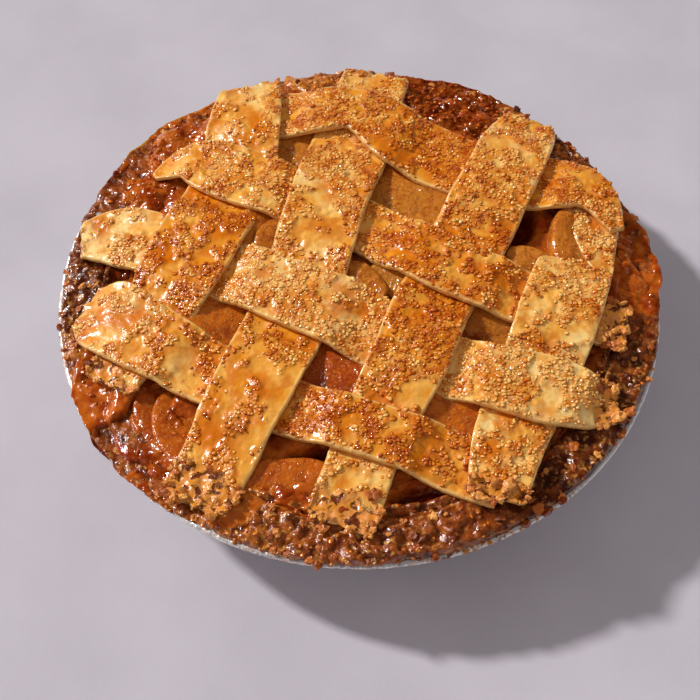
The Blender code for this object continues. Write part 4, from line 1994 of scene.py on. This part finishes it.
def drop() -> tuple[Array, Array, Array]:
    """A low round drop of sugar with unit radius, closed underneath.

    Returns:
        Its points, its faces, and how much darker each point is painted than its middle: a painted
        highlight on top, painted shade round the foot.
    """
    sides = 7
    rings = []
    for radius, height, shift in ((0.60, 0.74, 0.0), (1.0, 0.10, 0.5)):
        turn = 2.0 * np.pi * (np.arange(sides) + shift) / sides
        level = np.full(sides, height)
        rings.append(np.stack([radius * np.cos(turn), radius * np.sin(turn), level], -1))
    points = np.concatenate([[[0.0, 0.0, 1.0]], *rings, [[0.0, 0.0, -0.55]]])
    faces = []
    for step in range(sides):
        after = (step + 1) % sides
        inner, next_inner = 1 + step, 1 + after
        outer, next_outer = 1 + sides + step, 1 + sides + after
        faces.append((0, inner, next_inner))
        faces.append((inner, outer, next_inner))
        faces.append((next_inner, outer, next_outer))
        faces.append((2 * sides + 1, next_outer, outer))
    # Painted light: the top is painted lighter and the foot darker, as painted highlight and painted
    # shade.
    painted_light_and_shade = np.repeat([-0.22, 0.0, 0.42, 0.42], [1, sides, sides, 1])
    return points, np.array(faces), painted_light_and_shade


@dataclass
class Scatter:
    """Small uneven bits of one kind, strewn over beds and joined into one mesh.

    Bits without subdivisions are smooth low drops, which lie flat. The others are balls turned
    anyhow, with flat faces. The spread is how much their painted tones differ.
    """

    name: str
    count: int
    smallest: float
    largest: float
    jitter: float
    flatness: float
    sunk: float
    apart: float
    seed: int
    spread: float = 0.3
    subdivisions: int = 0

    def _places(self, beds: list[Bed], shelter: Probe) -> tuple[Array, Array]:
        """Picks where the bits lie, none too near to another.

        Args:
            beds: the surfaces that they lie on.
            shelter: what keeps them off the surfaces under it.

        Returns:
            The places and how brown the bits get there.
        """
        rng = np.random.default_rng(self.seed)
        points = np.concatenate([bed.points for bed in beds])
        weights = np.concatenate([bed.weights for bed in beds])
        tones = np.concatenate([bed.tones for bed in beds])
        wanted = min(5 * self.count, int(0.7 * np.count_nonzero(weights)))
        picks = rng.choice(len(points), wanted, replace=False, p=weights / weights.sum())
        taken: dict[tuple[int, ...], list[Array]] = {}
        chosen = []
        for pick in picks:
            place = points[pick]
            box = tuple(int(v) for v in np.floor(place / self.apart))
            near = [q for step in np.ndindex(3, 3, 3) for q in taken.get(tuple(np.add(box, step) - 1), ())]
            if all(((q - place) ** 2).sum() > self.apart**2 for q in near):
                taken.setdefault(box, []).append(place)
                chosen.append(pick)
        places = points[chosen]
        open_above = ~shelter.covered(places, 0.0012)
        return places[open_above][: self.count], tones[chosen][open_above][: self.count]

    def build(
        self,
        beds: list[Bed],
        shelter: Probe,
        material: Material,
        slot: str,
    ) -> bpy.types.Object:
        """Strews the bits.

        Args:
            beds: the surfaces that they lie on.
            shelter: what keeps them off the surfaces under it.
            material: their finish.
            slot: the record's material slot of that finish.

        Returns:
            The joined piece.
        """
        rng = np.random.default_rng(self.seed + 1)
        places, tones = self._places(beds, shelter)
        count = len(places)
        size = self.smallest + (self.largest - self.smallest) * rng.random(count) ** 1.5
        if self.subdivisions:
            shape, faces = ball(self.subdivisions)
            painted_light_and_shade = np.zeros(len(shape))
        else:
            shape, faces, painted_light_and_shade = drop()
        bits = shape[None] * (1.0 + self.jitter * rng.normal(size=(count, len(shape), 1)))
        uneven = 0.48 if self.subdivisions else 0.28
        bits = bits * rng.uniform(1.0 - uneven, 1.0 + uneven, size=(count, 1, 3))
        if self.subdivisions:
            turns = random_turns(rng, count)
        else:
            turns = np.eye(3) + 0.14 * rng.normal(size=(count, 3, 3))
        bits = np.einsum("nij,nvj->nvi", turns, bits)
        bits = bits * size[:, None, None] * np.array([1.0, 1.0, self.flatness])
        places = places + size[:, None] * np.array([0.0, 0.0, 1.0 - 2.0 * self.sunk]) * self.flatness
        places[:, :2] += rng.uniform(-0.0002, 0.0002, size=(count, 2))
        joined = (bits + places[:, None, :]).reshape(-1, 3)
        all_faces = (faces[None] + len(shape) * np.arange(count)[:, None, None]).reshape(-1, 3)
        # The drops' tones carry a painted highlight on top and painted shade round the foot.
        tones = np.clip(rng.normal(tones, self.spread)[:, None] + painted_light_and_shade[None, :], 0.0, 1.0)
        draft = Draft(joined, [all_faces], {"tone": tones.ravel()})
        return draft.to_object(self.name, material, slot, smooth=not self.subdivisions)


@dataclass(frozen=True)
class Drip:
    """A run of syrup over the bead: its angle in degrees, its width and its length."""

    angle: float
    width: float
    length: float


@dataclass
class SyrupDrips:
    """Syrup that ran over the tin's bead and set there."""

    radius: float
    height: float
    drips: tuple[Drip, ...] = (
        Drip(-77.0, 0.0030, 0.0052),
        Drip(-60.0, 0.0040, 0.0036),
        Drip(-55.5, 0.0052, 0.0044),
        Drip(-52.0, 0.0044, 0.0036),
        Drip(-146.5, 0.0044, 0.0036),
        Drip(-171.0, 0.0026, 0.0040),
        Drip(150.0, 0.0036, 0.0036),
        Drip(40.0, 0.0036, 0.0040),
    )

    def build(self, syrup: Material) -> bpy.types.Object:
        """Makes the drips.

        Args:
            syrup: their finish.

        Returns:
            The joined piece.
        """
        noise = Noise(61)
        shape, faces = ball(4)
        blocks, face_blocks = [], []
        for index, drip in enumerate(self.drips):
            body = shape * np.array([0.5 * drip.width, 0.0014, 0.5 * drip.length])
            low = np.clip(-shape[:, 2], 0.0, 1.0)
            body[:, 0] *= 1.0 - 0.45 * low
            body[:, 1] *= 1.0 - 0.35 * low
            body += 0.0004 * noise.layered(body + 0.05 * index, 0.0035)[:, None]
            body[:, 2] += 0.0010 - 0.22 * drip.length
            body[:, 1] += self.radius - 0.0009
            turn_about(body, 0, 1, drip.angle - 90.0)
            body[:, 2] += self.height
            blocks.append(body)
            face_blocks.append(faces + index * len(shape))
        points = np.concatenate(blocks)
        paint = {"dark": np.full(len(points), 0.55), "bubbly": np.zeros(len(points))}
        return Draft(points, face_blocks, paint).to_object("syrup_drips", syrup, "apple_filling")


@dataclass
class Studio:
    """A plain pale floor, soft light from the left, and the camera."""

    target: tuple[float, float, float] = (-0.0034, -0.0277, 0.034)
    distance: float = 0.485
    elevation: float = 57.2
    lens: float = 66.86
    sensor: float = 36.0
    key_azimuth: float = 154.5
    key_elevation: float = 36.8
    key_distance: float = 3.0
    key_width: float = 4.65
    key_strength: float = 3.05
    gleam_azimuth: float = 150.0
    gleam_elevation: float = 42.0
    gleam_distance: float = 2.0
    gleam_side: float = 0.50
    gleam_strength: float = 4.5
    sky: Colour = (0.410, 0.383, 0.385, 1.0)
    floor_side: float = 6.0

    def build(self) -> None:
        """Sets up the floor, the lights and the camera."""
        self._floor()
        self._key()
        self._gleam()
        self._world()
        self._camera()

    def _floor(self) -> None:
        """Lays the floor."""
        half = 0.5 * self.floor_side
        corners = [(-half, -half, 0.0), (half, -half, 0.0), (half, half, 0.0), (-half, half, 0.0)]
        mesh = bpy.data.meshes.new("floor")
        mesh.from_pydata(corners, [], [(0, 1, 2, 3)])
        mesh.materials.append(PaleFloor().make())
        floor = bpy.data.objects.new("floor", mesh)
        bpy.context.scene.collection.objects.link(floor)

    def _aim(self, thing: bpy.types.Object, azimuth: float, elevation: float, away: float) -> None:
        """Puts a thing at a distance from the target and turns it to face the target.

        Args:
            thing: the light or camera.
            azimuth: direction from the target, in degrees from +X.
            elevation: angle above the floor, in degrees.
            away: distance from the target.
        """
        turn, rise = math.radians(azimuth), math.radians(elevation)
        level = math.cos(rise)
        way = Vector((math.cos(turn) * level, math.sin(turn) * level, math.sin(rise)))
        thing.location = Vector(self.target) + away * way
        thing.rotation_mode = "QUATERNION"
        thing.rotation_quaternion = (-way).to_track_quat("-Z", "Y")
        bpy.context.scene.collection.objects.link(thing)

    def _key(self) -> None:
        """Hangs the key light, far off and round, as wide as its angle says."""
        data = bpy.data.lights.new("key", "SUN")
        data.angle = math.radians(self.key_width)
        data.energy = self.key_strength
        data.color = (1.0, 0.985, 0.965)
        key = bpy.data.objects.new("key", data)
        self._aim(key, self.key_azimuth, self.key_elevation, self.key_distance)

    def _gleam(self) -> None:
        """Hangs a broad panel beside the key light, which only shows as gleams on wet things."""
        data = bpy.data.lights.new("gleam", "AREA")
        data.size = self.gleam_side
        data.energy = self.gleam_strength
        gleam = bpy.data.objects.new("gleam", data)
        gleam.visible_diffuse = False
        gleam.visible_camera = False
        self._aim(gleam, self.gleam_azimuth, self.gleam_elevation, self.gleam_distance)

    def _world(self) -> None:
        """Fills the room with even light."""
        world = bpy.data.worlds.new("studio")
        world.use_nodes = True
        world.node_tree.nodes["Background"].inputs["Color"].default_value = self.sky
        world.cycles_visibility.glossy = False
        bpy.context.scene.world = world

    def _camera(self) -> None:
        """Sets the camera and plain colour management."""
        data = bpy.data.cameras.new("camera")
        data.lens = self.lens
        data.sensor_width = self.sensor
        data.clip_start = 0.01
        camera = bpy.data.objects.new("camera", data)
        self._aim(camera, -90.0, self.elevation, self.distance)
        bpy.context.scene.camera = camera
        bpy.context.scene.view_settings.view_transform = "Standard"


def strew(
    tops: list[Bed],
    broken: list[Bed],
    edge: Bed,
    boiled: Bed,
    shelter: Probe,
    syrup: Material,
) -> None:
    """Strews the sugar, the crumbs and the beads of syrup.

    Args:
        tops: the strips' tops.
        broken: the strips' crumbled ends.
        edge: the crust's edge.
        boiled: the boiled syrup's top.
        shelter: the strips, which keep things off what lies under them.
        syrup: finish of the beads.
    """
    sugar = Scatter(
        "coarse_sugar", count=6800, smallest=0.00056, largest=0.00102, jitter=0.12,
        flatness=0.42, sunk=0.52, apart=0.00088, seed=71, spread=0.06,
    )
    crumbs = Scatter(
        "pastry_crumbs", count=240, smallest=0.0005, largest=0.0018, jitter=0.20,
        flatness=0.6, sunk=0.50, apart=0.0018, seed=72, subdivisions=2,
    )
    flakes = Scatter(
        "golden_crumbs", count=700, smallest=0.0005, largest=0.0019, jitter=0.20,
        flatness=0.7, sunk=0.45, apart=0.0013, seed=74, subdivisions=2,
    )
    beads = Scatter(
        "syrup_beads", count=320, smallest=0.0005, largest=0.0011, jitter=0.06,
        flatness=0.8, sunk=0.4, apart=0.0014, seed=73,
    )
    crumb = PastryCrumb().make()
    sugar.build([*tops, edge.scaled(0.03)], shelter, CoarseSugar().make(), "glazed_pastry")
    crumbs.build([edge], shelter, crumb, "glazed_pastry")
    flakes.build(broken, shelter, crumb, "glazed_pastry")
    beads.build([boiled], shelter, syrup, "apple_filling")


def main() -> None:
    """Builds the visible pie round its solids."""
    logging.basicConfig(level=logging.INFO, format="%(name)s: %(message)s")
    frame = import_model()
    nodes = frame["nodes"]
    low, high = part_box("tin")
    tin_radius, tin_height = 0.5 * (high.x - low.x), high.z
    shelter = Probe([node for name, node in nodes.items() if "strip" in name])
    FoilTin(tin_radius, tin_height).build(ThinFoil().make())
    case_and_filling = Probe([nodes["pastry_case"], nodes["apple_filling"]])
    rim = RimShape(case_and_filling, tin_height + 0.0003)
    edge_bed = CrustEdge(rim).build(BakedEdge().make())
    syrup = CaramelSyrup().make()
    syrup_bed = Filling(case_and_filling, rim).build(syrup, CookedApple().make())
    tops, broken = Lattice(nodes).build(EggWashedPastry().make())
    strew(tops, broken, edge_bed, syrup_bed, shelter, syrup)
    SyrupDrips(tin_radius, tin_height).build(syrup)
    Studio().build()


if __name__ == "__main__":
    main()
